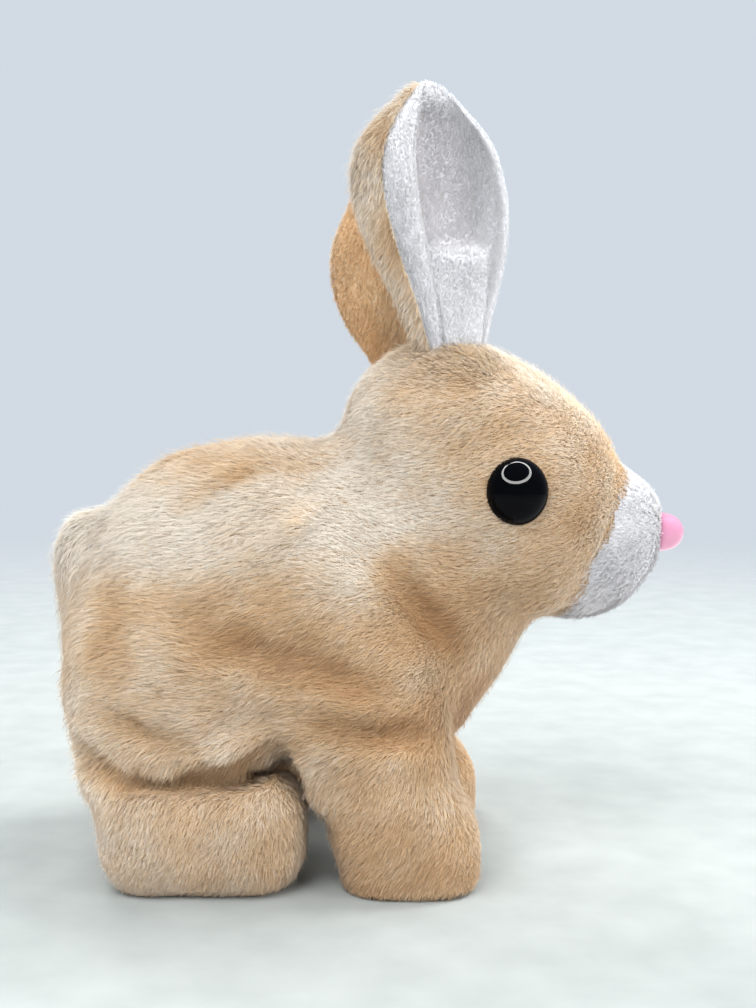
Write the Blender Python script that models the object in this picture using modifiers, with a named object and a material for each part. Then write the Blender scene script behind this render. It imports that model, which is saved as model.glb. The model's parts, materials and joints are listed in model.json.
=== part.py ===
"""A hopping plush rabbit: two clamshell halves hold a battery tray, a motor and a gear train.

The crankshaft swings the hind legs, links carry the swing to the front legs, and a cam drives a rod
to the ear axle, whose arm also slides the nose. Plush covers close over the plastic figure.
Frame: +X towards the nose, +Y to the rabbit's left, +Z up, origin on the ground under the middle.
Dimensions are in millimetres; the helpers turn them into Blender's metres.
"""

import math

import bmesh
import bpy
from mathutils import Matrix, Vector

MM = 0.001
GAP = 0.3  # between pieces that rest on or pass through each other
SIDES = {"left": 1, "right": -1}
PARTS_NAME = "plush_rabbit"

# Plastic figure
WALL = 1.6
TORSO_HALF_WIDTH = 26.0
HEAD_HALF_WIDTH = 18.0
RIM_ROUNDING = 4.0
SPLIT = 0.1  # half the gap between the clamshell halves
TORSO_CORNERS = [  # x, z, corner radius
    (-67.5, 31, 5), (-66.5, 56, 14), (-62, 90, 18), (-36, 102, 22),
    (-8, 99, 10), (22, 90, 10), (24, 60, 8), (17, 31, 6),
]
HEAD_CORNERS = [
    (2, 84, 6), (10, 118, 8), (16, 129, 8), (34, 131, 10), (48, 122, 10),
    (60, 104, 8), (62, 92, 6), (58, 78, 7), (36, 70, 8), (20, 70, 6),
]
SCREW_SPOTS = [(-46, 95), (9, 45), (48, 112)]
BOSS_RADIUS = 3.2

# Legs: pivots in x and z, and the shared height of the link pins
HIND_PIVOT = (-48.0, 58.0)
FRONT_PIVOT = (4.0, 58.0)
LINK_Z = 46.0
AXLE_RADIUS = 2.0
LEVER_Y = (29.2, 32.2)
LINK_Y = (32.5, 34.1)
LINK_PIN_RADIUS = 1.5
FOOT_X = {"hind": (-60.0, -24.0), "front": (-2.0, 25.0)}  # rear and front ends of the foot plates

# Gear train, from the crankshaft to the motor
MODULE = 0.6
WHEEL_TEETH = 36
PINION_TEETH = 12
PRESSURE_ANGLE = math.radians(25)
TOOTH_THINNING = 0.07
GEAR_SPACING = MODULE * (WHEEL_TEETH + PINION_TEETH) / 2
GEAR_LAYERS = [(-1.0, 2.0), (2.5, 5.5), (6.0, 9.0)]
CRANK_CENTRE = (-48.0, 73.0)
CRANK_THROW = 3.0
SHAFT_RADIUS = 1.5
STUB_RADIUS = 1.0
TRAIN_BEARINGS = [math.radians(25), math.radians(-20), math.radians(20)]

# Ears, nose and the rod between the cam and the head
EAR_PIVOT = (20.0, 121.0)
EAR_ARM = 10.0  # axle to drive pin
DRIVE_PIN_RADIUS = 1.25
EAR_Y = 12.0
EAR_X = 18.5
EAR_TURN = math.radians(25)
EAR_FOOT_Z = 144.5
EAR_WIDEST_Z = 172.0
EAR_TIP_Z = 203.0
EAR_HALF_WIDTH = 19.5
NOSE_Z = 86.9
NOSE_TIP_X = 86.1
NOSE_BASE_X = 79.6
CAM_RADIUS = 4.0
CAM_THROW = 1.74

# Batteries, door and switch in the belly
CELL_RADIUS = 7.1
CELL_Y = 7.5
CELL_Z = 41.0
DOOR_X = (-59.0, 2.0)
DOOR_HALF_WIDTH = 15.2
BELLY_Z = 31.0
DOOR_SCREW_X = -1.5
SWITCH_X = 8.0

# Plush covers: centre, outer radii, squareness and thickness
BODY_PLUSH = ((-21.5, 0, 68), (59, 50, 47), 3.0)
HEAD_PLUSH = ((34, 0, 100), (38, 34, 38), 3.0)
BODY_THICKNESS = 4.5
HEAD_THICKNESS = 3.5
PLUSH_HEM_Z = 44.0
NECK_SEAM = [(-6, 125), (-6, 112), (42, 60), (70, 60), (70, 125)]  # x, z of the body cover's cut-away
EYE = (38.1, 34.3, 100.0)
EYE_RADIUS = 8.0
EYE_HEIGHT = 5.5


# ---------------------------------------------------------------- scene and materials

def clear_scene():
    for obj in list(bpy.data.objects):
        bpy.data.objects.remove(obj)


def new_collection(name):
    collection = bpy.data.collections.new(name)
    bpy.context.scene.collection.children.link(collection)
    return collection


def material(name, colour, roughness, metallic=0.0):
    made = bpy.data.materials.new(name)
    made.use_nodes = True
    shader = made.node_tree.nodes["Principled BSDF"]
    shader.inputs["Base Color"].default_value = (*colour, 1.0)
    shader.inputs["Roughness"].default_value = roughness
    shader.inputs["Metallic"].default_value = metallic
    return made


def make_materials():
    return {
        "beige_plush": material("beige_plush", (0.74, 0.56, 0.36), 0.95),
        "white_plush": material("white_plush", (0.85, 0.85, 0.86), 0.95),
        "shell": material("shell", (0.78, 0.76, 0.70), 0.5),
        "gear": material("gear", (0.86, 0.85, 0.80), 0.45),
        "leg": material("leg", (0.72, 0.70, 0.66), 0.5),
        "steel": material("steel", (0.62, 0.62, 0.64), 0.3, 1.0),
        "black": material("black", (0.01, 0.01, 0.012), 0.06),
        "pink": material("pink", (0.85, 0.36, 0.52), 0.3),
        "rubber": material("rubber", (0.16, 0.16, 0.17), 0.8),
        "board": material("board", (0.05, 0.22, 0.10), 0.5),
        "cell": material("cell", (0.10, 0.12, 0.30), 0.35),
    }


# ---------------------------------------------------------------- shape helpers

def link(obj, collection, finish):
    """Files a finished piece: its material, and its origin in the middle of its own box."""
    collection.objects.link(obj)
    bpy.context.scene.collection.objects.unlink(obj)
    obj.data.materials.clear()
    obj.data.materials.append(finish)
    middle = sum((Vector(corner) for corner in obj.bound_box), Vector()) / 8
    obj.data.transform(Matrix.Translation(-middle))
    obj.location = middle
    return obj


def mesh_object(name, bm):
    mesh = bpy.data.meshes.new(name)
    bm.to_mesh(mesh)
    bm.free()
    obj = bpy.data.objects.new(name, mesh)
    bpy.context.scene.collection.objects.link(obj)
    return obj


def baked(obj):
    """Replaces the object's data with its evaluated mesh, welded, and clears its modifiers."""
    graph = bpy.context.evaluated_depsgraph_get()
    mesh = bpy.data.meshes.new_from_object(obj.evaluated_get(graph))
    bm = bmesh.new()
    bm.from_mesh(mesh)
    bmesh.ops.remove_doubles(bm, verts=bm.verts, dist=0.002 * MM)
    bmesh.ops.recalc_face_normals(bm, faces=bm.faces)
    bm.transform(obj.matrix_world)
    name = obj.name
    bpy.data.objects.remove(obj)
    return mesh_object(name, bm)


def boolean(target, tool, operation):
    modifier = target.modifiers.new(operation.lower(), "BOOLEAN")
    modifier.object = tool
    modifier.operation = operation
    made = baked(target)
    bpy.data.objects.remove(tool)
    return made


def cut(target, *tools):
    for tool in tools:
        target = boolean(target, tool, "DIFFERENCE")
    return target


def join(target, *tools):
    for tool in tools:
        target = boolean(target, tool, "UNION")
    return target


def block(name, low, high, rounding=0.0, segments=2):
    """A box between two corners, with all its edges rounded."""
    bm = bmesh.new()
    bmesh.ops.create_cube(bm, size=1.0)
    size = [(b - a) * MM for a, b in zip(low, high)]
    centre = [(a + b) / 2 * MM for a, b in zip(low, high)]
    bmesh.ops.scale(bm, vec=size, verts=bm.verts)
    bmesh.ops.translate(bm, vec=centre, verts=bm.verts)
    if rounding:
        bmesh.ops.bevel(
            bm, geom=bm.edges[:], offset=rounding * MM, segments=segments, affect="EDGES", profile=0.5
        )
    return mesh_object(name, bm)


def side_block(name, side, xs, ys, zs, rounding=0.0, segments=2):
    """A box whose y range is given as distances from the middle plane, on one side of it."""
    near, far = sorted(side * y for y in ys)
    return block(name, (xs[0], near, zs[0]), (xs[1], far, zs[1]), rounding, segments)


AXIS_TURNS = {
    "X": Matrix.Rotation(math.pi / 2, 4, "Y"),
    "Y": Matrix.Rotation(-math.pi / 2, 4, "X"),
    "Z": Matrix.Identity(4),
}


def rod(name, axis, start, end, centre, radius, segments=16):
    """A cylinder along an axis from start to end; centre holds its other two coordinates."""
    bm = bmesh.new()
    bmesh.ops.create_cone(
        bm, cap_ends=True, segments=segments, radius1=radius * MM, radius2=radius * MM,
        depth=abs(end - start) * MM,
    )
    bm.transform(AXIS_TURNS[axis])
    place = list(centre)
    place.insert("XYZ".index(axis), (start + end) / 2)
    bmesh.ops.translate(bm, vec=Vector(place) * MM, verts=bm.verts)
    return mesh_object(name, bm)


def plate(name, outline, y_low, y_high):
    """An outline in x and z, extruded along y: a filled 2D curve made into a closed mesh."""
    curve = bpy.data.curves.new(name, "CURVE")
    curve.dimensions = "2D"
    curve.fill_mode = "BOTH"
    curve.extrude = (y_high - y_low) / 2 * MM
    spline = curve.splines.new("POLY")
    spline.points.add(len(outline) - 1)
    for point, (x, z) in zip(spline.points, outline):
        point.co = (x * MM, z * MM, 0, 1)
    spline.use_cyclic_u = True
    obj = bpy.data.objects.new(name, curve)
    obj.location = (0, (y_low + y_high) / 2 * MM, 0)
    obj.rotation_euler = (math.pi / 2, 0, 0)
    bpy.context.scene.collection.objects.link(obj)
    return baked(obj)


def turned(name, profile, axis, centre, steps=20):
    """A closed profile of (radius, along) points, turned round an axis by a Screw modifier."""
    bm = bmesh.new()
    points = [bm.verts.new((radius * MM, 0, along * MM)) for radius, along in profile]
    for first, second in zip(points, points[1:] + points[:1]):
        if max(first.co.x, second.co.x) > 0:
            bm.edges.new((first, second))
    obj = mesh_object(name, bm)
    screw = obj.modifiers.new("turn", "SCREW")
    screw.steps = screw.render_steps = steps
    screw.use_merge_vertices = True
    screw.merge_threshold = 0.01 * MM
    obj.matrix_world = Matrix.Translation(Vector(centre) * MM) @ AXIS_TURNS[axis]
    return baked(obj)


def pillow(name, centre, radii, squareness, grow=0.0):
    """A sphere swelled towards a box: |x/a|^p + |y/b|^p + |z/c|^p = 1."""
    bm = bmesh.new()
    bmesh.ops.create_uvsphere(bm, u_segments=20, v_segments=10, radius=1.0)
    reach = [radius + grow for radius in radii]
    for vert in bm.verts:
        spread = sum(abs(vert.co[i]) ** squareness for i in range(3)) ** (-1 / squareness)
        vert.co = Vector([(centre[i] + reach[i] * vert.co[i] * spread) * MM for i in range(3)])
    return mesh_object(name, bm)


def corner_sign(before, corner, after):
    ax, az = corner[0] - before[0], corner[1] - before[1]
    bx, bz = after[0] - corner[0], after[1] - corner[1]
    return math.copysign(1.0, ax * bz - az * bx)


def turning(corners):
    """+1 for an outline that runs anticlockwise in x and z, -1 for clockwise."""
    area = 0.0
    for (x0, z0, *_), (x1, z1, *_) in zip(corners, corners[1:] + corners[:1]):
        area += x0 * z1 - x1 * z0
    return math.copysign(1.0, area)


def rounded(corners, steps=3):
    """The outline of (x, z, radius) corners with each corner drawn as an arc."""
    outline = []
    count = len(corners)
    for i, (x, z, radius) in enumerate(corners):
        here = Vector((x, z))
        back = (Vector(corners[i - 1][:2]) - here).normalized()
        ahead = (Vector(corners[(i + 1) % count][:2]) - here).normalized()
        half = math.acos(max(-1.0, min(1.0, back.dot(ahead)))) / 2
        if radius <= 0 or half > math.radians(89):
            outline.append((x, z))
            continue
        centre = here + (back + ahead).normalized() * radius / math.sin(half)
        first = here + back * radius / math.tan(half) - centre
        last = here + ahead * radius / math.tan(half) - centre
        sweep = first.angle_signed(last)
        for step in range(steps + 1):
            turn = Matrix.Rotation(-sweep * step / steps, 2)
            point = centre + turn @ first
            outline.append((point.x, point.y))
    return outline


def inset(corners, distance):
    """The corners of an outline whose walls have moved inwards by a distance."""
    way = turning(corners)
    count = len(corners)
    moved = []
    for i, (x, z, radius) in enumerate(corners):
        before, after = corners[i - 1], corners[(i + 1) % count]
        back = (Vector((x, z)) - Vector(before[:2])).normalized()
        ahead = (Vector(after[:2]) - Vector((x, z))).normalized()
        normal_back = Vector((-back.y, back.x)) * way
        normal_ahead = Vector((-ahead.y, ahead.x)) * way
        middle = (normal_back + normal_ahead).normalized()
        shift = middle * distance / middle.dot(normal_back)
        bend = corner_sign(before, corners[i], after) * way
        moved.append((x + shift.x, z + shift.y, max(radius - bend * distance, 0.5)))
    return moved


def round_face_rim(obj, y_face, rounding):
    """Rounds the rim of the face that lies at y = y_face."""
    bm = bmesh.new()
    bm.from_mesh(obj.data)
    rim = [
        edge for edge in bm.edges
        if all(abs(vert.co.y - y_face * MM) < 0.01 * MM for vert in edge.verts)
        and edge.calc_face_angle(0) > math.radians(45)
    ]
    bmesh.ops.bevel(bm, geom=rim, offset=rounding * MM, segments=1, affect="EDGES")
    bm.to_mesh(obj.data)
    bm.free()
    return obj


def slot_outline(x, z, half_x, half_z):
    return rounded([
        (x - half_x, z - half_z, half_x * 0.9), (x + half_x, z - half_z, half_x * 0.9),
        (x + half_x, z + half_z, half_x * 0.9), (x - half_x, z + half_z, half_x * 0.9),
    ])


# ---------------------------------------------------------------- gears

def involute_angle(radius, base):
    if radius <= base:
        return 0.0
    reach = math.sqrt((radius / base) ** 2 - 1)
    return reach - math.atan(reach)


def gear_outline(teeth, centre, phase):
    """An involute gear's outline in x and z, with a tooth centred at angle phase.

    Each flank is one chord of the involute, which leaves a little more room between the teeth.
    """
    pitch = MODULE * teeth / 2
    base = pitch * math.cos(PRESSURE_ANGLE)
    tip, root = pitch + MODULE, pitch - 1.25 * MODULE
    half_tooth = math.pi / (2 * teeth) - TOOTH_THINNING / (2 * pitch)
    at_pitch = involute_angle(pitch, base)
    low = max(root, base)
    outline = []
    for tooth in range(teeth):
        middle = phase + 2 * math.pi * tooth / teeth
        rising = [(r, middle - half_tooth - at_pitch + involute_angle(r, base)) for r in (low, tip)]
        if root < base:
            rising.insert(0, (root, rising[0][1]))
        falling = [(r, 2 * middle - angle) for r, angle in reversed(rising)]
        for radius, angle in rising + falling:
            outline.append((centre[0] + radius * math.cos(angle), centre[1] + radius * math.sin(angle)))
    return outline


def meshed_phase(wheel_teeth, wheel_phase, pinion_teeth, bearing):
    """The phase of the second gear so that its gap takes the first gear's tooth on the centre line."""
    ratio = wheel_teeth / pinion_teeth
    return bearing + math.pi - math.pi / pinion_teeth + ratio * (bearing - wheel_phase)


def train_centres():
    centres = [CRANK_CENTRE]
    for bearing in TRAIN_BEARINGS:
        x, z = centres[-1]
        centres.append((x + GEAR_SPACING * math.cos(bearing), z + GEAR_SPACING * math.sin(bearing)))
    return centres


def bored(gear, centre, radius, y_low, y_high):
    return cut(gear, rod("bore", "Y", y_low - 1, y_high + 1, centre, radius))


def make_gears(parts, finishes):
    crank, second, first, motor = train_centres()
    layers = GEAR_LAYERS
    made = {}
    wheel = plate("crank_gear", gear_outline(WHEEL_TEETH, crank, 0.0), *layers[0])
    made["crankshaft"] = [link(bored(wheel, crank, SHAFT_RADIUS + 0.1, *layers[0]), parts, finishes["gear"])]
    phase = 0.0
    for name, centre, bearing, low_layer, high_layer in (
        ("second_gear", second, TRAIN_BEARINGS[0], layers[0], layers[1]),
        ("first_gear", first, TRAIN_BEARINGS[1], layers[1], layers[2]),
    ):
        phase = meshed_phase(WHEEL_TEETH, phase, PINION_TEETH, bearing)
        pinion = plate("pinion", gear_outline(PINION_TEETH, centre, phase), low_layer[0], high_layer[0] + 1)
        wheel = plate(name, gear_outline(WHEEL_TEETH, centre, phase), *high_layer)
        gear = join(wheel, pinion)
        gear = bored(gear, centre, STUB_RADIUS + 0.1, low_layer[0], high_layer[1])
        made[name] = [link(gear, parts, finishes["gear"])]
    phase = meshed_phase(WHEEL_TEETH, phase, PINION_TEETH, TRAIN_BEARINGS[2])
    pinion = plate("motor_pinion", gear_outline(PINION_TEETH, motor, phase), layers[2][0], layers[2][1])
    shaft = rod("shaft", "Y", 0.6, layers[2][1] + 0.8, motor, STUB_RADIUS)
    made["motor_rotor"] = [link(join(pinion, shaft), parts, finishes["gear"])]
    return made


def make_crankshaft(parts, finishes):
    x, z = CRANK_CENTRE
    shaft = rod("crankshaft", "Y", -28.2, 28.2, CRANK_CENTRE, SHAFT_RADIUS)
    made = [link(shaft, parts, finishes["steel"])]
    for label, side in SIDES.items():
        disc = rod(f"crank_disc_{label}", "Y", side * 26.3, side * 28.3, CRANK_CENTRE, 6.0, 32)
        pin = rod("pin", "Y", side * 27.3, side * 28.9, (x, z + CRANK_THROW), DRIVE_PIN_RADIUS)
        disc = cut(join(disc, pin), rod("bore", "Y", side * 25, side * 30, CRANK_CENTRE, SHAFT_RADIUS + 0.1))
        made.append(link(disc, parts, finishes["gear"]))
    cam = rod("head_cam", "Y", -8.0, -5.2, (x - CAM_THROW, z), CAM_RADIUS, 32)
    made.append(link(bored(cam, CRANK_CENTRE, SHAFT_RADIUS + 0.1, -8, -5), parts, finishes["gear"]))
    return made


# ---------------------------------------------------------------- plastic figure

def figure_half(side, distance, reach):
    """One half of the figure as a solid that reaches past the middle, its walls moved inwards."""
    halves = []
    blocks = ((TORSO_CORNERS, TORSO_HALF_WIDTH, 0.0), (HEAD_CORNERS, HEAD_HALF_WIDTH, 0.4))
    for corners, width, extra in blocks:
        outer = width - distance
        low, high = sorted((-side * (reach + extra), side * outer))
        half = plate("half", rounded(inset(corners, distance), 2), low, high)
        halves.append(round_face_rim(half, side * outer, RIM_ROUNDING - distance))
    return join(*halves)


def make_shells(parts, finishes):
    made = []
    for label, side in SIDES.items():
        half = figure_half(side, 0.0, 2.0)
        half.name = f"shell_{label}"
        half = cut(half, figure_half(side, WALL, 3.0))
        half = cut(half, side_block("middle", side, (-90, 90), (-9, SPLIT), (0, 150)))
        for x, z in SCREW_SPOTS:
            width = HEAD_HALF_WIDTH if x > 30 else TORSO_HALF_WIDTH
            half = join(half, rod("boss", "Y", side * 0.15, side * (width - 0.8), (x, z), BOSS_RADIUS))
        half = cut(half, *shell_openings(side))
        made.append(link(half, parts, finishes["shell"]))
    return made


def shell_openings(side):
    """The cutters for one half: axle and shaft holes, belly openings, ear slot, nose and eye holes."""
    far = side * 30
    x, z = DOOR_X
    tools = [
        rod("cut", "Y", side * 20, far, HIND_PIVOT, AXLE_RADIUS + 0.2),
        rod("cut", "Y", side * 20, far, FRONT_PIVOT, AXLE_RADIUS + 0.2),
        rod("cut", "Y", side * 20, far, CRANK_CENTRE, SHAFT_RADIUS + 0.3),
        rod("cut", "Y", side * 12, far, EAR_PIVOT, SHAFT_RADIUS + 0.15),
        rod("cut", "Y", side * 14, far, (EYE[0], EYE[2]), 2.8),
        rod("cut", "X", 58, 66, (0, NOSE_Z), 2.8),
        block(
            "cut", (DOOR_X[0] - GAP, -DOOR_HALF_WIDTH - GAP, 28), (DOOR_X[1] + GAP, DOOR_HALF_WIDTH + GAP, 36)
        ),
        block("cut", (SWITCH_X - 2, -4, 28), (SWITCH_X + 2, 4, 36)),
        side_block("cut", side, (13.5, 26.5), (9.8, 14.2), (122, 136)),
    ]
    for x, z in SCREW_SPOTS:
        width = HEAD_HALF_WIDTH if x > 30 else TORSO_HALF_WIDTH
        if side < 0:
            tools.append(rod("cut", "Y", 4, -width - 4, (x, z), 1.6, 12))
            tools.append(rod("cut", "Y", -width + 4.2, -width - 4, (x, z), 2.8))
        else:
            tools.append(rod("cut", "Y", -2, 9, (x, z), 1.4, 12))
    return tools


def make_screws(parts, finishes):
    made = []
    for number, (x, z) in enumerate(SCREW_SPOTS, 1):
        width = HEAD_HALF_WIDTH if x > 30 else TORSO_HALF_WIDTH
        head_y = -width + 3.9
        head = rod(f"shell_screw_{number}", "Y", head_y, head_y - 1.6, (x, z), 2.5)
        shank = rod("shank", "Y", head_y - 0.8, 8, (x, z), 1.2, 12)
        slot = block("slot", (x - 3, head_y - 2.4, z - 0.35), (x + 3, head_y - 1.0, z + 0.35))
        made.append(link(cut(join(head, shank), slot), parts, finishes["steel"]))
    return made


# ---------------------------------------------------------------- gearbox and electrics

def make_gearbox(parts, finishes):
    outline = rounded([(-60, 64, 2), (-60, 88, 8), (4, 88, 4), (4, 68, 4), (-8, 64, 4)])
    crank, second, first, motor = train_centres()
    right = plate("gearbox_plate_right", outline, -4.6, -3.0)
    for centre in (second, first):
        right = join(right, rod("stub", "Y", -3.8, 11.6, centre, STUB_RADIUS))
    for centre in ((-57, 85), (-2, 69.6), (-33, 65.8)):
        right = join(right, rod("pillar", "Y", -3.8, 10.4, centre, 1.5))
    window = (motor[0] - 10.3, -6, motor[1] - 7.8), (motor[0] + 10.3, -2, motor[1] + 7.8)
    right = cut(right, rod("hole", "Y", -6, 0, crank, SHAFT_RADIUS + 0.2), block("window", *window))
    left = plate("gearbox_plate_left", outline, 10.6, 12.2)
    left = cut(left, rod("hole", "Y", 10, 13, crank, SHAFT_RADIUS + 0.2))
    for centre in (second, first):
        left = cut(left, rod("hole", "Y", 10, 13, centre, STUB_RADIUS + 0.1))
    return [link(plate_, parts, finishes["shell"]) for plate_ in (left, right)]


def make_motor(parts, finishes):
    x, z = train_centres()[-1]
    can = plate("motor", rounded([
        (x - 10, z - 7.5, 6), (x - 10, z + 7.5, 6), (x + 10, z + 7.5, 6), (x + 10, z - 7.5, 6),
    ]), -23, 2)
    can = join(can, rod("boss", "Y", 1, 3.4, (x, z), 3.0))
    can = cut(can, rod("bore", "Y", 0, 5, (x, z), STUB_RADIUS + 0.2))
    return [link(can, parts, finishes["steel"])]


def make_speaker(parts, finishes):
    back = [(0, 0), (5, 0), (6, 2.2), (11.5, 3.6), (13, 3.6)]
    cone = [(13, 5), (11, 5), (7, 3.4), (3, 2.8), (0, 3.2)]
    speaker = turned("speaker", back + cone, "X", (8, 0, 68))
    return [link(speaker, parts, finishes["black"])]


def make_board(parts, finishes):
    board = block("circuit_board", (-58, -20, 51.4), (-14, 20, 52.8))
    board = join(board, block("chip", (-34, -5, 52), (-24, 5, 54.4)))
    board = join(board, rod("capacitor", "Z", 52, 55.2, (-20, 12), 2.5, 12))
    return [link(board, parts, finishes["board"])]


def coil(name, start_x, y, z, length, radius, turns, finish, parts):
    steps = turns * 8
    curve = bpy.data.curves.new(name, "CURVE")
    curve.dimensions = "3D"
    curve.bevel_depth = 0.35 * MM
    curve.bevel_resolution = 1
    curve.use_fill_caps = True
    spline = curve.splines.new("POLY")
    spline.points.add(steps)
    for i, point in enumerate(spline.points):
        angle = 2 * math.pi * turns * i / steps
        x = start_x + length * i / steps
        place = Vector((x, y + radius * math.cos(angle), z + radius * math.sin(angle)))
        point.co = (*place * MM, 1)
    obj = bpy.data.objects.new(name, curve)
    bpy.context.scene.collection.objects.link(obj)
    return link(baked(obj), parts, finish)


def make_battery_pack(parts, finishes):
    tray = block("battery_tray", (-63, -17, 33), (-4.5, 17, 50.2))
    tray = cut(tray, block("hollow", (-61.6, -15.6, 31), (-5.9, 15.6, 48.8)))
    tray = join(tray, block("flange", (-5.2, -5, 33), (2, 5, 38)))
    tray = cut(tray, rod("hole", "Z", 31, 40, (DOOR_SCREW_X, 0), 1.8))
    made = [link(tray, parts, finishes["shell"])]
    cells = (("left", 1, (-56.9, -7.9), (-8.2, -6.6)), ("right", -1, (-59.9, -10.9), (-59.6, -61.2)))
    for label, side, (start, end), (nub_start, nub_end) in cells:
        centre = (side * CELL_Y, CELL_Z)
        cell = rod(f"battery_{label}", "X", start, end, centre, CELL_RADIUS)
        cell = join(cell, rod("nub", "X", nub_start, nub_end, centre, 2.7))
        made.append(link(cell, parts, finishes["cell"]))
    made.append(coil("battery_spring_rear", -61.1, CELL_Y, CELL_Z, 3.6, 3.4, 3, finishes["steel"], parts))
    made.append(coil("battery_spring_front", -10.3, -CELL_Y, CELL_Z, 3.8, 3.4, 3, finishes["steel"], parts))
    return made


def make_door(parts, finishes):
    door = block("battery_door", (DOOR_X[0], -DOOR_HALF_WIDTH, BELLY_Z), (DOOR_X[1], DOOR_HALF_WIDTH, 32.6))
    for x in range(-50, -9, 8):
        door = cut(door, block("grip", (x - 0.8, -9, BELLY_Z - 1), (x + 0.8, 9, BELLY_Z + 0.5)))
    door = cut(door, rod("hole", "Z", 29, 34, (DOOR_SCREW_X, 0), 1.5))
    head = rod("battery_door_screw", "Z", 29.4, 30.7, (DOOR_SCREW_X, 0), 2.6)
    screw = join(head, rod("shank", "Z", 30.2, 36.5, (DOOR_SCREW_X, 0), 1.2, 12))
    screw = cut(screw, block("slot", (DOOR_SCREW_X - 3, -0.35, 29), (DOOR_SCREW_X + 3, 0.35, 30)))
    return [link(door, parts, finishes["shell"]), link(screw, parts, finishes["steel"])]


def make_switch(parts, finishes):
    body = block("switch_body", (SWITCH_X - 4, -5.5, 33), (SWITCH_X + 4, 5.5, 38))
    body = cut(body, block("pocket", (SWITCH_X - 2, -4, 31), (SWITCH_X + 2, 4, 35.2)))
    knob = block("switch_knob", (SWITCH_X - 1.7, -3.5, 29.6), (SWITCH_X + 1.7, -0.5, 34.8), 0.4, 1)
    return [link(body, parts, finishes["steel"])], [link(knob, parts, finishes["black"])]


# ---------------------------------------------------------------- legs

def make_leg(kind, label, side, parts, finishes):
    """A plastic leg with its lever and foot plate, its plush sock and its sole pad."""
    hind = kind == "hind"
    pivot = HIND_PIVOT if hind else FRONT_PIVOT
    x, z = pivot
    top = 24.0 if hind else 6.0
    lever = rounded([
        (x - 6, z, 5), (x - 5, z + top, 4), (x + 5, z + top, 4), (x + 6, z, 5),
        (x + 5, 6, 0), (x - 5, 6, 0),
    ])
    low, high = sorted(side * y for y in LEVER_Y)
    leg = plate(f"{kind}_leg_{label}", lever, low, high)
    foot_x = FOOT_X[kind]
    leg = join(leg, side_block("foot", side, foot_x, (22, 38), (3, 8)))
    leg = join(leg, rod("pin", "Y", side * 31, side * 34.6, (x, LINK_Z), LINK_PIN_RADIUS))
    leg = cut(leg, rod("hole", "Y", side * 28, side * 34, pivot, AXLE_RADIUS + 0.1))
    if hind:
        slot = slot_outline(x, CRANK_CENTRE[1], DRIVE_PIN_RADIUS + GAP, 4.8)
        leg = cut(leg, plate("slot", slot, *sorted((side * 28, side * 34))))

    lower_x, upper_x = ((-66, -18), (-66, -30)) if hind else ((-8, 31), (-10, 22))
    sock = side_block(f"{kind}_sock_{label}", side, lower_x, (16, 45), (1, 24), 7.0)
    sock = join(sock, side_block("cuff", side, upper_x, (27, 44.5), (12, 36), 5.0))
    corridor = side_block("corridor", side, (x - 6.5, x + 6.5), (LEVER_Y[0] - 0.5, LEVER_Y[1] + 0.5), (5, 40))
    cavity = side_block("cavity", side, (foot_x[0] - 0.5, foot_x[1] + 0.5), (21.5, 38.5), (2.5, 8.5))
    sole_x = (foot_x[0] + 5, foot_x[1] - 5)
    opening = side_block("opening", side, (sole_x[0] - 0.5, sole_x[1] + 0.5), (23.5, 36.5), (0, 4))
    sock = cut(sock, corridor, cavity, opening)
    sole = side_block(f"{kind}_sole_{label}", side, sole_x, (24, 36), (0, 2.7))
    return [
        link(leg, parts, finishes["leg"]),
        link(sock, parts, finishes["beige_plush"]),
        link(sole, parts, finishes["rubber"]),
    ]


def make_leg_pair(kind, pivot, parts, finishes):
    made = [link(rod(f"{kind}_axle", "Y", -32.0, 32.0, pivot, AXLE_RADIUS), parts, finishes["steel"])]
    for label, side in SIDES.items():
        made += make_leg(kind, label, side, parts, finishes)
    return made


def make_links(parts, finishes):
    made = []
    rear, front = HIND_PIVOT[0], FRONT_PIVOT[0]
    for label, side in SIDES.items():
        outline = rounded([
            (rear - 3.5, LINK_Z - 3.5, 3.4), (rear - 3.5, LINK_Z + 3.5, 3.4),
            (front + 3.5, LINK_Z + 3.5, 3.4), (front + 3.5, LINK_Z - 3.5, 3.4),
        ])
        bar = plate(f"leg_link_{label}", outline, *sorted(side * y for y in LINK_Y))
        for x in (rear, front):
            bar = cut(bar, rod("hole", "Y", side * 31, side * 36, (x, LINK_Z), LINK_PIN_RADIUS + 0.2))
        made.append(link(bar, parts, finishes["leg"]))
    return made


# ---------------------------------------------------------------- head mechanism

def make_nose(parts, finishes):
    pin_z = EAR_PIVOT[1] - EAR_ARM
    slider = block("nose_slider", (17, -1.5, NOSE_Z - 1.5), (81.9, 1.5, NOSE_Z + 1.5))
    slider = join(slider, block("riser", (16, -1.5, NOSE_Z - 1.5), (24, 1.5, pin_z + 5)))
    slot = slot_outline(EAR_PIVOT[0], pin_z, DRIVE_PIN_RADIUS + GAP, 3.2)
    slider = cut(slider, plate("slot", slot, -3, 3))
    nose = pillow("nose", (NOSE_BASE_X, 0, NOSE_Z), (NOSE_TIP_X - NOSE_BASE_X, 6.2, 5.1), 2.2)
    nose = cut(
        nose,
        block("back", (NOSE_BASE_X - 12, -9, NOSE_Z - 9), (NOSE_BASE_X, 9, NOSE_Z + 9)),
        block("socket", (NOSE_BASE_X - 2, -1.8, NOSE_Z - 1.8), (82.3, 1.8, NOSE_Z + 1.8)),
    )
    return [link(slider, parts, finishes["gear"]), link(nose, parts, finishes["pink"])]


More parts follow.
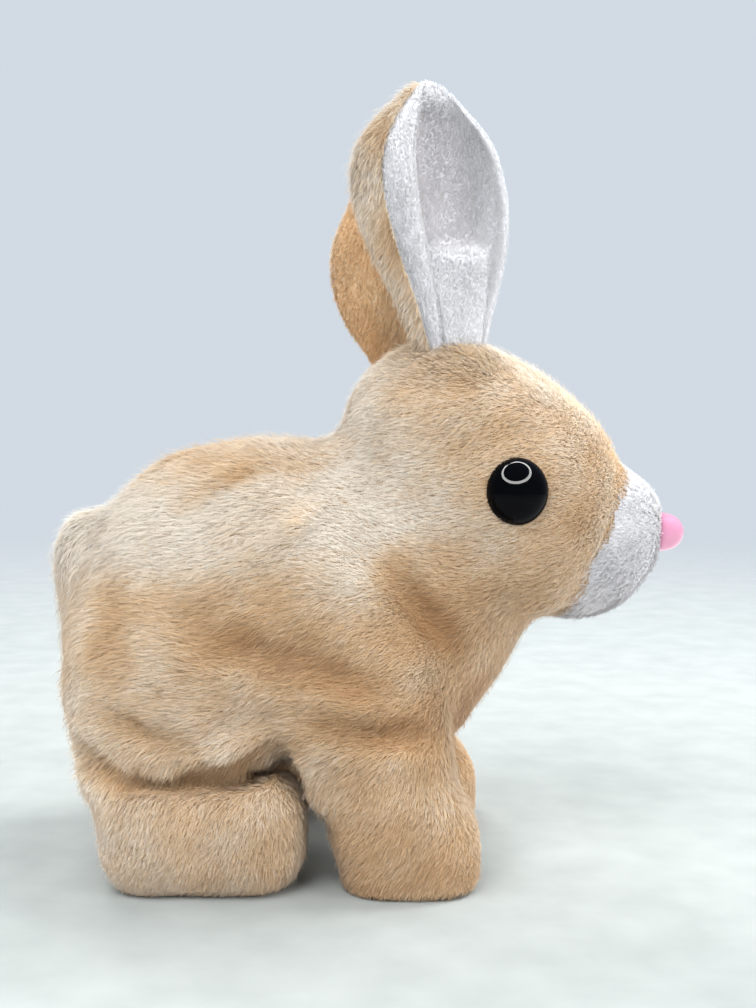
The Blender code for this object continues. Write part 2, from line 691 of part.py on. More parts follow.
def make_muzzle_core(parts, finishes):
    profile = [(2.8, 0), (14, 0), (13, 5), (9, 10.5), (6, 14), (2.8, 14)]
    core = turned("muzzle_core", profile, "X", (62.3, 0, NOSE_Z))
    return [link(core, parts, finishes["shell"])]


def make_head_rod(parts, finishes):
    """A flat push rod: its tail stands ahead of the cam, and its front yoke takes the ear axle's pin."""
    x, z = EAR_PIVOT[0], EAR_PIVOT[1] - EAR_ARM
    outline = [
        (-40, 66), (-37, 66), (-37, 87.3), (11, 87.3), (19, 104), (24, 105),
        (24, 117), (16, 117), (15.5, 107), (8.5, 91), (-40, 91),
    ]
    bar = plate("head_rod", outline, -8.0, -5.6)
    bar = cut(bar, plate("slot", slot_outline(x, z, DRIVE_PIN_RADIUS + GAP, 3.2), -9, -5))
    return [link(bar, parts, finishes["gear"])]


def ear_outline(scale):
    """Half an ellipse above the widest point and a parabola that narrows below it."""
    points = []
    above, below = EAR_TIP_Z - EAR_WIDEST_Z, EAR_WIDEST_Z - EAR_FOOT_Z
    for step in range(9):
        share = step / 8
        points.append((EAR_HALF_WIDTH * (1 - 0.52 * (1 - share) ** 2), EAR_FOOT_Z + below * share))
    for step in range(1, 12):
        angle = math.pi * step / 12
        if angle < math.pi / 2:
            points.append((EAR_HALF_WIDTH * math.cos(angle), EAR_WIDEST_Z + above * math.sin(angle)))
    right = [(u * scale, EAR_FOOT_Z + (z - EAR_FOOT_Z) * scale) for u, z in points]
    tip = (0.0, EAR_FOOT_Z + (EAR_TIP_Z - EAR_FOOT_Z) * scale)
    return right + [tip] + [(-u, z) for u, z in reversed(right)]


def ear_sheet(name, side, outline, near, far):
    """A sheet in the ear's own plane: near and far are distances along its outward normal."""
    low, high = sorted((side * near, side * far))
    sheet = plate(name, outline, low, high)
    turn = Matrix.Rotation(-side * EAR_TURN, 4, "Z")
    place = Matrix.Translation(Vector((EAR_X, side * EAR_Y, 0)) * MM)
    sheet.data.transform(place @ turn)
    return sheet


def make_ears(parts, finishes):
    x, z = EAR_PIVOT
    axle = rod("ear_axle", "Y", -17.6, 17.6, EAR_PIVOT, SHAFT_RADIUS)
    axle = join(
        axle,
        block("arm", (x - 2.5, 2.2, z - EAR_ARM - 1.5), (x + 2.5, 4.2, z + 2)),
        rod("pin", "Y", -8.3, 3.2, (x, z - EAR_ARM), DRIVE_PIN_RADIUS),
    )
    made = [link(axle, parts, finishes["gear"])]
    for label, side in SIDES.items():
        paddle = side_block(f"ear_paddle_{label}", side, (x - 3, x + 3), (10.8, 13.2), (z - 3.5, 142))
        blade = rounded([(-7, 138, 1), (7, 138, 1), (7, 161, 5), (-7, 161, 5)])
        paddle = join(paddle, ear_sheet("blade", side, blade, -0.8, 0.8))
        paddle = cut(paddle, rod("hole", "Y", side * 9, side * 15, EAR_PIVOT, SHAFT_RADIUS + 0.1))
        made.append(link(paddle, parts, finishes["gear"]))
        back = ear_sheet(f"ear_back_{label}", side, ear_outline(1.0), -3.6, -1.1)
        made.append(link(back, parts, finishes["beige_plush"]))
        lining = ear_sheet(f"ear_lining_{label}", side, ear_outline(0.95), 1.1, 2.8)
        made.append(link(lining, parts, finishes["white_plush"]))
    return made


def make_eyes(parts, finishes):
    made = []
    x, base, z = EYE
    for label, side in SIDES.items():
        dome = [(0, EYE_HEIGHT)] + [
            (EYE_RADIUS * math.sin(a), EYE_HEIGHT * math.cos(a)) for a in
            (math.radians(d) for d in (18, 36, 54, 72, 90))
        ]
        profile = dome + [(2.5, 0), (2.5, -18.5), (0, -18.5)]
        eye = turned(f"eye_{label}", profile, "Z", (0, 0, 0))
        turn = Matrix.Rotation(-side * math.pi / 2, 4, "X")
        eye.data.transform(Matrix.Translation(Vector((x, side * base, z)) * MM) @ turn)
        made.append(link(eye, parts, finishes["black"]))
    return made


# ---------------------------------------------------------------- plush covers

def make_body_plush(parts, finishes):
    centre, radii, squareness = BODY_PLUSH
    cover = pillow("body_plush", centre, radii, squareness)
    cover = cut(
        cover,
        block("hem", (-100, -70, -10), (60, 70, PLUSH_HEM_Z)),
        pillow("inside", centre, radii, squareness, -BODY_THICKNESS),
        plate("neck", NECK_SEAM, -60, 60),
        pillow("head", *HEAD_PLUSH, 1.0),
    )
    return [link(cover, parts, finishes["beige_plush"])]


def make_tail(parts, finishes):
    tail = pillow("tail_plush", (-78.6, 0, 80), (7.5, 11, 11), 2.0)
    tail = cut(tail, pillow("body", *BODY_PLUSH, GAP))
    return [link(tail, parts, finishes["beige_plush"])]


def make_head_plush(parts, finishes):
    centre, radii, squareness = HEAD_PLUSH
    cover = pillow("head_plush", centre, radii, squareness)
    cover = cut(
        cover,
        block("neck", (-20, -27.5, 50), (26, 27.5, 103)),
        pillow("inside", centre, radii, squareness, -HEAD_THICKNESS),
        rod("muzzle", "X", 50, 90, (0, 84), 19.8, 24),
    )
    for side in SIDES.values():
        cover = cut(cover, side_block("ear_hole", side, (12, 28), (8.5, 15.5), (118, 150)))
        cover = cut(cover, rod("eye_hole", "Y", side * 20, side * 45, (EYE[0], EYE[2]), 2.9))
    return [link(cover, parts, finishes["beige_plush"])]


def make_muzzle_plush(parts, finishes):
    outside = [(19, 0), (18.4, 4), (16, 8), (12.6, 12), (9.2, 15)]
    inside = [(6.6, 15), (9.4, 12), (13, 8), (15, 4), (15.6, 0)]
    cover = turned("muzzle_plush", outside + inside, "X", (62.5, 0, 84))
    core = turned("core", [(0, -2), (14.6, -2), (13.8, 5.2), (9.8, 11), (6.6, 14.6), (4.5, 20), (0, 20)],
                  "X", (62.3, 0, NOSE_Z))
    return [link(cut(cover, core), parts, finishes["white_plush"])]


# ---------------------------------------------------------------- assembly

def joint_empty(name, location, parts):
    empty = bpy.data.objects.new(name, None)
    empty.empty_display_size = 8 * MM
    empty.location = Vector(location) * MM
    parts.objects.link(empty)
    return empty


def hang(pieces, empty):
    """Parents pieces to a joint's empty without moving them."""
    bpy.context.view_layer.update()
    for piece in pieces:
        piece.parent = empty
        piece.matrix_parent_inverse = empty.matrix_world.inverted()


def shade(parts):
    for obj in parts.objects:
        if obj.type == "MESH":
            obj.data.shade_smooth()
            obj.data.set_sharp_from_angle(angle=math.radians(35))


def main():
    clear_scene()
    parts = new_collection(PARTS_NAME)
    finishes = make_materials()
    fixed = (
        make_shells(parts, finishes) + make_screws(parts, finishes) + make_gearbox(parts, finishes)
        + make_motor(parts, finishes) + make_speaker(parts, finishes) + make_board(parts, finishes)
        + make_battery_pack(parts, finishes) + make_muzzle_core(parts, finishes) + make_eyes(parts, finishes)
        + make_body_plush(parts, finishes) + make_tail(parts, finishes)
        + make_head_plush(parts, finishes) + make_muzzle_plush(parts, finishes)
    )
    switch_body, switch_knob = make_switch(parts, finishes)
    gears = make_gears(parts, finishes)
    crank, second, first, motor = train_centres()

    root = joint_empty("chassis", (0, 0, 0), parts)
    hang(fixed + switch_body, root)
    moving = {
        "crankshaft_spin": ((crank[0], 0, crank[1]), gears["crankshaft"] + make_crankshaft(parts, finishes)),
        "second_gear_spin": ((second[0], 0, second[1]), gears["second_gear"]),
        "first_gear_spin": ((first[0], 0, first[1]), gears["first_gear"]),
        "motor_spin": ((motor[0], 0, motor[1]), gears["motor_rotor"]),
        "hind_legs_swing": (
            (HIND_PIVOT[0], 0, HIND_PIVOT[1]), make_leg_pair("hind", HIND_PIVOT, parts, finishes)
        ),
        "front_legs_swing": (
            (FRONT_PIVOT[0], 0, FRONT_PIVOT[1]), make_leg_pair("front", FRONT_PIVOT, parts, finishes)
        ),
        "leg_links_tilt": ((HIND_PIVOT[0], 0, LINK_Z), make_links(parts, finishes)),
        "ears_swing": ((EAR_PIVOT[0], 0, EAR_PIVOT[1]), make_ears(parts, finishes)),
        "nose_slide": ((NOSE_BASE_X, 0, NOSE_Z), make_nose(parts, finishes)),
        "head_rod_slide": ((-37, 0, 90), make_head_rod(parts, finishes)),
        "battery_door_swing": ((DOOR_X[0], 0, BELLY_Z), make_door(parts, finishes)),
        "switch_slide": ((SWITCH_X, -2, BELLY_Z), switch_knob),
    }
    empties = {}
    for name, (location, pieces) in moving.items():
        empties[name] = joint_empty(name, location, parts)
        hang(pieces, empties[name])
    hang([empties["leg_links_tilt"]], empties["hind_legs_swing"])
    hang([empty for name, empty in empties.items() if name != "leg_links_tilt"], root)
    shade(parts)


main()
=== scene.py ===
"""The looks of a hopping plush rabbit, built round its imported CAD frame.

The coat is one smooth surface drawn from rounded forms, meshed, split where the legs swing, and
covered with combed pile whose fibres are thin tapered ribbons. Forms are written in millimetres.
"""

import json
import math

import bmesh
import bpy
import numpy as np
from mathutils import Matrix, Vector
from mathutils.kdtree import KDTree

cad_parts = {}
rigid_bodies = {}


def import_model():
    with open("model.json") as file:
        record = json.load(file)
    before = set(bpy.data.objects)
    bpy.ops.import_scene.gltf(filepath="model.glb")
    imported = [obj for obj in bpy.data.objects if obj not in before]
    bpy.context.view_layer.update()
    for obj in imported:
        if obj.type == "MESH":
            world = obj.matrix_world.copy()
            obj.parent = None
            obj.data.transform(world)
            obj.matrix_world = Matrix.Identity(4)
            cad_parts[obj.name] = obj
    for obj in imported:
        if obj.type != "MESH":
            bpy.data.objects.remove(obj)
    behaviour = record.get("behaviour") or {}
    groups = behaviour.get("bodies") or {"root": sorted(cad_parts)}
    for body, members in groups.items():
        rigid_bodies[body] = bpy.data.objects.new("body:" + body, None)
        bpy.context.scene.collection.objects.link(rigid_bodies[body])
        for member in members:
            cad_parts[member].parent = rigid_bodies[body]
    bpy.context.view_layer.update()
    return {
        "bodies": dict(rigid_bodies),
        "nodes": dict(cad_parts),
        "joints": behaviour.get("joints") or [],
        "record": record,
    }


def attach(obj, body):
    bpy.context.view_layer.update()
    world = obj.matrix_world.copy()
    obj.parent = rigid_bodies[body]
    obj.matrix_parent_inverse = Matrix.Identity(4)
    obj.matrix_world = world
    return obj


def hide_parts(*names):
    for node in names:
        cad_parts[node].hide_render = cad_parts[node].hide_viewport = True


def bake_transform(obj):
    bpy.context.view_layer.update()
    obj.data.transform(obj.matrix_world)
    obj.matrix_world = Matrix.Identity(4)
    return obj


MM = 0.001
SEED = 20
SIDES = {"left": 1.0, "right": -1.0}

# Coat surface, in mm
NET_STEP = 1.7
NET_BOX = ((-92, -56, -4), (92, 56, 142))
COAT_CLEARANCE = 1.0  # of the backing cloth above the ground
PILE_CLEARANCE = 0.25  # of the fibres above the ground

# Pile: fibres to a square mm, sizes in mm, and least and most lift as shares of a fibre's length
FIBRE_WIDTH = 0.16
ROOT_DEPTH = 0.25
PILE_PER_MM2 = 10.5
WHITE_LENGTH = 2.1
WHITE_PER_MM2 = 12.0
WHITE_LIFT = np.array([0.35, 0.7])
BACK_PER_MM2 = 10.0
BACK_LENGTHS = {"right": 4.2, "left": 2.2}
BACK_LIFT = np.array([0.3, 0.65])
LINING_LENGTH = 1.1
LINING_PER_MM2 = 14.0
LINING_LIFT = np.array([0.4, 0.8])
EDGE_SCATTER = 1.5  # how raggedly the white pile meets the beige
FLYAWAYS = 0.07  # share of fibres that stand off
FLYAWAY_RISE = 0.55
BAND_EDGES = [-1e3, -66, -52, -40, -28, -16, -4, 8, 19, 31, 44, 1e3]  # along X, one fur piece between two

# Stuffing, by cloth simulation
CLOTH_STEP = 5.0
CLOTH_PRESSURE = 4.0
CLOTH_FRAMES = 20
CLOTH_CAP = 2.4
CLOTH_START_INSET = 1.2

# Eyes and nose
EYE_X, EYE_Y, EYE_Z = 38.1, 34.0, 100.0
EYE_RADIUS = 8.0
EYE_DOME = 5.8
EYE_SCALE = (0.96, 1.05, 1.0)
EYE_BARE = 6.8  # no pile grows under this much of an eye
NOSE_X, NOSE_Z = 80.0, 86.9
NOSE_FRONT, NOSE_BACK, NOSE_WIDE, NOSE_HIGH = 7.0, 1.6, 6.4, 5.6
NOSE_BARE = 5.8

# Ears: each stands in a vertical plane turned towards the front, round its paddle
EAR_X, EAR_Y = 20.0, 12.0
EAR_TURN = math.radians(25)
PADDLE_TOP_Z = 161.5
PADDLE_COVER = 2.2
EAR_ROWS = 56
EAR_OUTLINES = {  # height, rear edge and front edge along X
    "right": [
        (126, 16.5, 29.5), (134, 15.3, 31.0), (147, 10.6, 33.2), (160, 4.4, 35.0), (173, 0.0, 34.8),
        (184, 0.0, 32.4), (190, 2.6, 29.6), (195, 6.4, 25.8), (199, 10.0, 22.6), (201.6, 12.6, 19.6),
        (202.8, 14.8, 17.2), (203.0, 15.8, 16.2),
    ],
    "left": [
        (126, 6.0, 28.5), (134, 2.5, 29.0), (143, -3.4, 30.0), (151, -6.6, 30.8), (160, -7.4, 31.0),
        (168, -6.0, 30.6), (176, -2.8, 29.8), (186, 2.0, 27.0), (194, 7.0, 22.5), (198.6, 11.6, 18.4),
        (199.8, 14.4, 15.6),
    ],
}

# The parts of the coat, and its seams: x, z where a leg cover starts and a point further along the leg that
# sets the seam's direction
BODY, FRONT, HIND, WHITE = range(4)
FRONT_SEAM = ((4.0, 44.0), (16.0, 20.0))
HIND_SEAM = ((-46.0, 43.0), (-52.0, 20.0))
LEG_DIVIDE = ((20.0, 30.0), (-12.0, -15.5))  # heights, and the X there that parts hind paw from front leg

# Stage, in metres, watts and degrees; the camera's place is in mm
CAMERA_PLACE = (3.8, -378.0, 122.5)
CAMERA_PITCH = 4.25
CAMERA_LENS = 50
LAMP_AIM = Vector((0, 0, 0.09))
LAMPS = [  # name, place, diameter, power
    ("key", (-0.30, -0.65, 1.00), 0.8, 13.0),
    ("fill", (0.95, -0.65, 0.55), 0.7, 9.0),
    ("back", (-0.35, 0.80, 0.90), 0.7, 11.0),
    ("rim", (0.70, 0.25, 0.95), 0.6, 18.0),
    ("side", (-0.95, -0.25, 0.50), 0.6, 3.5),
]
RING_PLACE = Vector((0.0, -0.34, 0.70))
RING_AIM = Vector((0.02, 0, 0.09))
RING_RADII = (515, 645)
RING_STEPS = 64
FLOOR_REACH = 3000


# ---------------------------------------------------------------- smooth fields

def waves(points, scale, seed, count=14):
    """A smooth random field of about -1 to 1 whose features are about `scale` mm across."""
    rng = np.random.default_rng(seed)
    total = np.zeros(len(points))
    for _ in range(count):
        direction = rng.normal(size=3)
        direction *= 2 * math.pi / (scale * rng.uniform(1.0, 2.4)) / np.linalg.norm(direction)
        total += np.sin(points @ direction + rng.uniform(0, 2 * math.pi))
    return total / math.sqrt(count)


def smooth_step(low, high, values):
    share = np.clip((values - low) / (high - low), 0, 1)
    return share * share * (3 - 2 * share)


def blob(points, centre, radii, tilt=0.0):
    """Signed distance, nearly, to an ellipsoid; tilt turns it about Y, in degrees."""
    local = points - np.array(centre, float)
    if tilt:
        turn = math.radians(tilt)
        x = local[:, 0] * math.cos(turn) - local[:, 2] * math.sin(turn)
        z = local[:, 0] * math.sin(turn) + local[:, 2] * math.cos(turn)
        local = np.stack([x, local[:, 1], z], 1)
    scaled = local / np.array(radii, float)
    length = np.linalg.norm(scaled, axis=1)
    slope = np.linalg.norm(scaled / np.array(radii, float), axis=1)
    return length * (length - 1) / np.maximum(slope, 1e-6)


def limb(points, start, end, start_radius, end_radius, flatten=1.0):
    """Signed distance to a round cone between two points; flatten narrows it in Y."""
    local = points.copy()
    start, end = np.array(start, float), np.array(end, float)
    local[:, 1] = start[1] + (local[:, 1] - start[1]) / flatten
    end[1] = start[1] + (end[1] - start[1]) / flatten
    axis = end - start
    share = np.clip((local - start) @ axis / (axis @ axis), 0, 1)
    nearest = start + share[:, None] * axis
    radius = start_radius + (end_radius - start_radius) * share
    return (np.linalg.norm(local - nearest, axis=1) - radius) * flatten


def melt(first, second, width):
    """Smooth union of two distances."""
    share = np.clip(0.5 + 0.5 * (second - first) / width, 0, 1)
    return second + (first - second) * share - width * share * (1 - share)


def carve(solid, tool, width):
    """Smooth subtraction of a tool from a solid."""
    return -melt(-solid, tool, width)


def groove(points, path, radius):
    """Distance to a wire through the path's points."""
    nearest = np.full(len(points), 1e9)
    for start, end in zip(path, path[1:]):
        nearest = np.minimum(nearest, limb(points, start, end, radius, radius))
    return nearest


# ---------------------------------------------------------------- the coat's form

TORSO = [  # centre, radii, tilt
    ((-32, 0, 69), (44.5, 43, 42.5), -4),
    ((-44, 0, 56), (35, 42, 32), 0),
    ((-12, 0, 72), (32, 37, 36.5), 0),
    ((6, 0, 66), (36, 36, 31), 8),
    ((9, 0, 46), (16, 24, 18.5), 0),
]
HEAD = [
    ((25, 0, 105), (28, 33.5, 32), 0),
    ((13, 0, 117), (14, 24, 15), 0),
    ((41, 0, 99), (27, 31.5, 26.5), 25),
    ((37, 14, 84), (23, 17, 18), 0),
    ((37, -14, 84), (23, 17, 18), 0),
]
MUZZLE = ((60.6, 0, 84.2), (17.8, 16.5, 21.5), 40)
TAIL = ((-75.5, 0, 80), (7.5, 11, 12))
HIND_PAW = ((-40.5, 30, 14), (25.5, 15, 16), 13.0)  # centre, half size, corner radius
FRONT_PAW = ((12.0, 30, 8), (17.0, 14.5, 14), 11.5)
FRONT_LEG = ((-1, 27, 50), (8, 30, 20), 21.5, 17.0, 0.9)
HAUNCH = ((-47, 28, 48), (28.5, 17, 29))
HEEL = ((-60, 30, 29), (-46, 30, 15), 11, 13)
FAR_PAW_STEP = 3.0  # the left front paw stands this far ahead of the right one
BELLY_ROOM = ((-67, -18, -20), (15, 18, 32.5))  # where the plastic base shows, with its door and switch
RIDGES = [  # x, z and height over the side of the body, mirrored; then the cord's radius and softness
    ([(-30, 82, -1), (-17, 91, 2.8), (-4, 99, -1)], 2.6, 5),
    ([(-50, 31.5, -1), (-33, 37.5, 2.8), (-17, 43, -1)], 2.6, 4),
    ([(-16, 46, 0), (-13, 36, 1.6), (-9, 26, -1)], 4.0, 5),
]
CREASES = [  # x, z and depth pressed into the side of the body, mirrored; then radius and softness
    ([(-44, 99, -2), (-26, 105.5, 2.0), (-8, 109, -2)], 2.6, 5),
    ([(-48, 76, -2), (-34, 66, 1.6), (-22, 60, 3.6), (-9, 57.5, 4.4), (2, 54, 3.0), (14, 48, -2)], 4.0, 7),
    ([(3, 88, -2), (10, 78, 3.2), (17, 69, 4.8), (27, 57, -1)], 3.5, 6),
    ([(-14, 44, -2), (4, 41.5, 4.2), (20, 41.5, 0)], 3.0, 5),
    ([(-66, 47, -2), (-52, 42.5, 3.2), (-38, 37.5, -2)], 2.4, 4),
    ([(-69, 37, 2), (-58, 29, 3.4), (-42, 29.5, 4.5), (-28, 29, 4.5), (-18, 27, 3)], 2.6, 3),
    ([(-42, 31, 0), (-28, 33.5, 3.5), (-16, 36.5, 0)], 2.5, 4),
    ([(-66, 84, -2), (-60, 70, 1.8), (-62, 56, -2)], 4.0, 7),
    ([(66, 92, -1), (61.5, 84, 1.2), (55, 73, -1)], 1.5, 4),
]


def coat_distance(points):
    """The distance field of the whole coat with its muzzle, without the ears."""
    folded = mirrored(points)
    shape = plain_distance(points)
    for cord, radius, softness in CREASE_CORDS:
        shape = carve(shape, groove(folded, cord, radius), softness)
    shape = carve(shape, belly_box(points), 2.0)
    return np.maximum(shape, COAT_CLEARANCE - points[:, 2])


def plain_distance(points):
    """The coat before its creases are pressed in."""
    folded = mirrored(points)
    shape = smooth_distance(points)
    for cord, radius, softness in RIDGE_CORDS:
        shape = melt(shape, groove(folded, cord, radius), softness)
    return shape


def smooth_distance(points):
    """The stuffed forms melted into one."""
    folded = mirrored(points)
    shape = blob(points, *TORSO[0])
    for form in TORSO[1:]:
        shape = melt(shape, blob(points, *form), 14)
    head = blob(points, *HEAD[0])
    for form in HEAD[1:]:
        head = melt(head, blob(points, *form), 12)
    shape = melt(shape, head, 13)
    shape = melt(shape, blob(points, *MUZZLE), 6)
    shape = melt(shape, blob(points, *TAIL), 11)
    shape = melt(shape, blob(folded, *HAUNCH), 8)
    shape = melt(shape, limb(folded, *FRONT_LEG), 7)
    shape = melt(shape, pad(folded - stepped(points), *FRONT_PAW), 6)
    paw = melt(pad(folded, *HIND_PAW), limb(folded, *HEEL), 5)
    return melt(shape, paw, 4)


def mirrored(points):
    """Both halves of the toy laid on the left one."""
    folded = points.copy()
    folded[:, 1] = np.abs(folded[:, 1])
    return folded


def stepped(points):
    """How far the left front paw is moved ahead."""
    step = np.zeros_like(points)
    step[:, 0] = FAR_PAW_STEP * (points[:, 1] > 0)
    return step


def on_side(path, distance):
    """A path given by x, z and height, laid over the side of a form."""
    path = np.array(path, float)
    points = np.stack([path[:, 0], np.zeros(len(path)), path[:, 1]], 1)
    inner, outer = np.zeros(len(path)), np.full(len(path), 60.0)
    for _ in range(20):
        points[:, 1] = (inner + outer) / 2
        inside = distance(points) < 0
        inner = np.where(inside, points[:, 1], inner)
        outer = np.where(inside, outer, points[:, 1])
    points[:, 1] = inner + path[:, 2]
    return points


def cords(folds, distance, sign):
    """Cords that raise a ridge (sign 1) or press in a crease (sign -1) along each fold."""
    made = []
    for path, radius, softness in folds:
        centres = [(x, z, sign * (height - radius)) for x, z, height in path]
        made.append((on_side(centres, distance), radius, softness))
    return made


def pad(points, centre, half, radius):
    """Signed distance to a box with rounded edges."""
    outside = np.abs(points - np.array(centre, float)) - (np.array(half, float) - radius)
    beyond = np.linalg.norm(np.maximum(outside, 0), axis=1)
    return beyond + np.minimum(np.max(outside, axis=1), 0) - radius


def belly_box(points):
    """Distance, nearly, to the room under the belly."""
    low, high = np.array(BELLY_ROOM, float)
    outside = np.abs(points - (low + high) / 2) - (high - low) / 2
    return np.max(outside, axis=1)


RIDGE_CORDS = cords(RIDGES, smooth_distance, 1)
CREASE_CORDS = cords(CREASES, plain_distance, -1)


def surface_net(distance, low, high, step):
    """Vertices and quads of the surface where the distance field is zero, on a grid of a step."""
    axes = [np.arange(low[i], high[i] + step, step) for i in range(3)]
    grid = np.stack(np.meshgrid(*axes, indexing="ij"), -1)
    values = distance(grid.reshape(-1, 3)).reshape(grid.shape[:3])
    cells = tuple(size - 1 for size in values.shape)
    total, count = np.zeros(cells + (3,)), np.zeros(cells)
    crossings = []
    for axis in range(3):
        before = np.take(values, range(values.shape[axis] - 1), axis)
        after = np.take(values, range(1, values.shape[axis]), axis)
        crossing = (before < 0) != (after < 0)
        share = np.where(crossing, before / np.where(crossing, before - after, 1), 0)
        place = np.take(grid, range(values.shape[axis] - 1), axis).copy()
        place[..., axis] += share * step
        others = [i for i in range(3) if i != axis]
        for shift in ((0, 0), (0, 1), (1, 0), (1, 1)):
            window = [slice(None)] * 3
            for other, offset in zip(others, shift):
                window[other] = slice(offset, offset + cells[other])
            hit = crossing[tuple(window)]
            total += place[tuple(window)] * hit[..., None]
            count += hit
        crossings.append((axis, crossing, before < 0))
    used = count > 0
    number = np.full(cells, -1)
    number[used] = np.arange(used.sum())
    vertices = total[used] / count[used][:, None]
    quads = [net_quads(number, *item) for item in crossings]
    return vertices, np.concatenate(quads)


def net_quads(number, axis, crossing, starts_inside):
    """One quad round each grid edge that crosses the surface, facing outwards."""
    first, second = (axis + 1) % 3, (axis + 2) % 3
    inner = crossing.copy()
    for other in (first, second):
        edge = [slice(None)] * 3
        edge[other] = 0
        inner[tuple(edge)] = False
        edge[other] = -1
        inner[tuple(edge)] = False
    place = np.argwhere(inner)
    step_first, step_second = np.eye(3, dtype=int)[first], np.eye(3, dtype=int)[second]
    corners = [place - step_first - step_second, place - step_second, place, place - step_first]
    quads = np.stack([number[tuple(corner.T)] for corner in corners], 1)
    outwards = starts_inside[tuple(place.T)]
    quads[~outwards] = quads[~outwards][:, ::-1]
    return quads


def gradient(distance, points, reach=0.4):
    """Unit outward normals of a distance field."""
    slopes = []
    for axis in range(3):
        shift = np.zeros(3)
        shift[axis] = reach
        slopes.append(distance(points + shift) - distance(points - shift))
    normals = np.stack(slopes, 1)
    return normals / np.maximum(np.linalg.norm(normals, axis=1), 1e-9)[:, None]


def settle(distance, points, rounds=2):
    """Moves points onto the zero of a distance field."""
    for _ in range(rounds):
        points = points - distance(points)[:, None] * gradient(distance, points) * 0.9
    return points


# ---------------------------------------------------------------- meshes

def new_mesh(name, vertices, faces, finish, smooth=True):
    mesh = bpy.data.meshes.new(name)
    mesh.from_pydata((np.asarray(vertices) * MM).tolist(), [], [list(map(int, face)) for face in faces])
    if finish is not None:
        mesh.materials.append(finish)
    if smooth:
        mesh.shade_smooth()
    obj = bpy.data.objects.new(name, mesh)
    bpy.context.scene.collection.objects.link(obj)
    return obj


def seam_side(points, seam):
    """Positive on the leg's side of a seam plane, in mm from it."""
    (x0, z0), (x1, z1) = seam
    way = np.array([x1 - x0, 0, z1 - z0], float)
    return (points - np.array([x0, 0, z0])) @ (way / np.linalg.norm(way))


def region_of(points):
    """Which part of the coat each point belongs to."""
    x, y, z = points.T
    region = np.full(len(points), BODY)
    ahead = x > np.interp(z, *LEG_DIVIDE)
    region[(seam_side(points, FRONT_SEAM) > 0) & ahead] = FRONT
    region[(seam_side(points, HIND_SEAM) > 0) & ~ahead] = HIND
    white_edge = muzzle_edge(z) + 0.8 * waves(points, 12, SEED + 9)
    region[(x > white_edge) & (z > 60)] = WHITE
    return region


def muzzle_edge(z):
    """The X at each height where the white muzzle cover starts."""
    return 53.8 + 0.46 * (z - 66)


def corner_normals(points, quads):
    """A normal at each vertex, from the quads round it."""
    a, b, c, d = (points[quads[:, i]] for i in range(4))
    face = np.cross(c - a, d - b)
    normals = np.zeros_like(points)
    for i in range(4):
        np.add.at(normals, quads[:, i], face)
    return unit(normals)


def unit(vectors):
    return vectors / np.maximum(np.linalg.norm(vectors, axis=1), 1e-9)[:, None]


def sample_sheet(points, quads, density, rng, shares=None):
    """Random points on a sheet, an even number to each square millimetre, with their normals."""
    both = np.concatenate([points, corner_normals(points, quads)], 1)
    if shares is not None:
        quads = quads[shares]
    a, b, c, d = (both[quads[:, i]] for i in range(4))
    area = 0.5 * np.linalg.norm(np.cross((c - a)[:, :3], (d - b)[:, :3]), axis=1)
    count = int(area.sum() * density)
    chosen = rng.choice(len(quads), count, p=area / area.sum())
    u, v = rng.random(count)[:, None], rng.random(count)[:, None]
    low = a[chosen] * (1 - u) + b[chosen] * u
    high = d[chosen] * (1 - u) + c[chosen] * u
    picked = low * (1 - v) + high * v
    return picked[:, :3], unit(picked[:, 3:])


# ---------------------------------------------------------------- stuffing

def stuffed(points):
    """Swells the coat between its pinned folds, as a cloth simulation on a coarse copy of it does."""
    coarse, quads = surface_net(coat_distance, *NET_BOX, CLOTH_STEP)
    coarse = settle(coat_distance, coarse)
    held = pinned(coarse)
    shift = simulated(coarse, quads, held) - coarse
    shift *= np.minimum(1, CLOTH_CAP / np.maximum(np.linalg.norm(shift, axis=1), 1e-9))[:, None]
    shift -= gradient(coat_distance, coarse) * (CLOTH_START_INSET * (1 - held))[:, None]
    tree = KDTree(len(coarse))
    for index, point in enumerate(coarse):
        tree.insert(point, index)
    tree.balance()
    moved = points.copy()
    for index, point in enumerate(points):
        near = tree.find_n(point, 6)
        weights = np.array([1 / (distance + 0.5) ** 2 for _, _, distance in near])
        moved[index] += weights @ shift[[found for _, found, _ in near]] / weights.sum()
    return moved


def pinned(points):
    """1 where the coat is sewn or glued down: its folds, paws, muzzle, ears' feet and underside."""
    x, y, z = points.T
    eye = np.hypot(x - EYE_X, z - EYE_Z)
    folds = smooth_step(0.6, 2.2, -plain_distance(points))
    sewn = [
        folds, smooth_step(30, 24, z), smooth_step(44, 50, x), smooth_step(112, 120, z),
        smooth_step(14, 10, eye), smooth_step(30, 24, np.abs(y)) * smooth_step(40, 36, z),
    ]
    return np.max(sewn, axis=0)


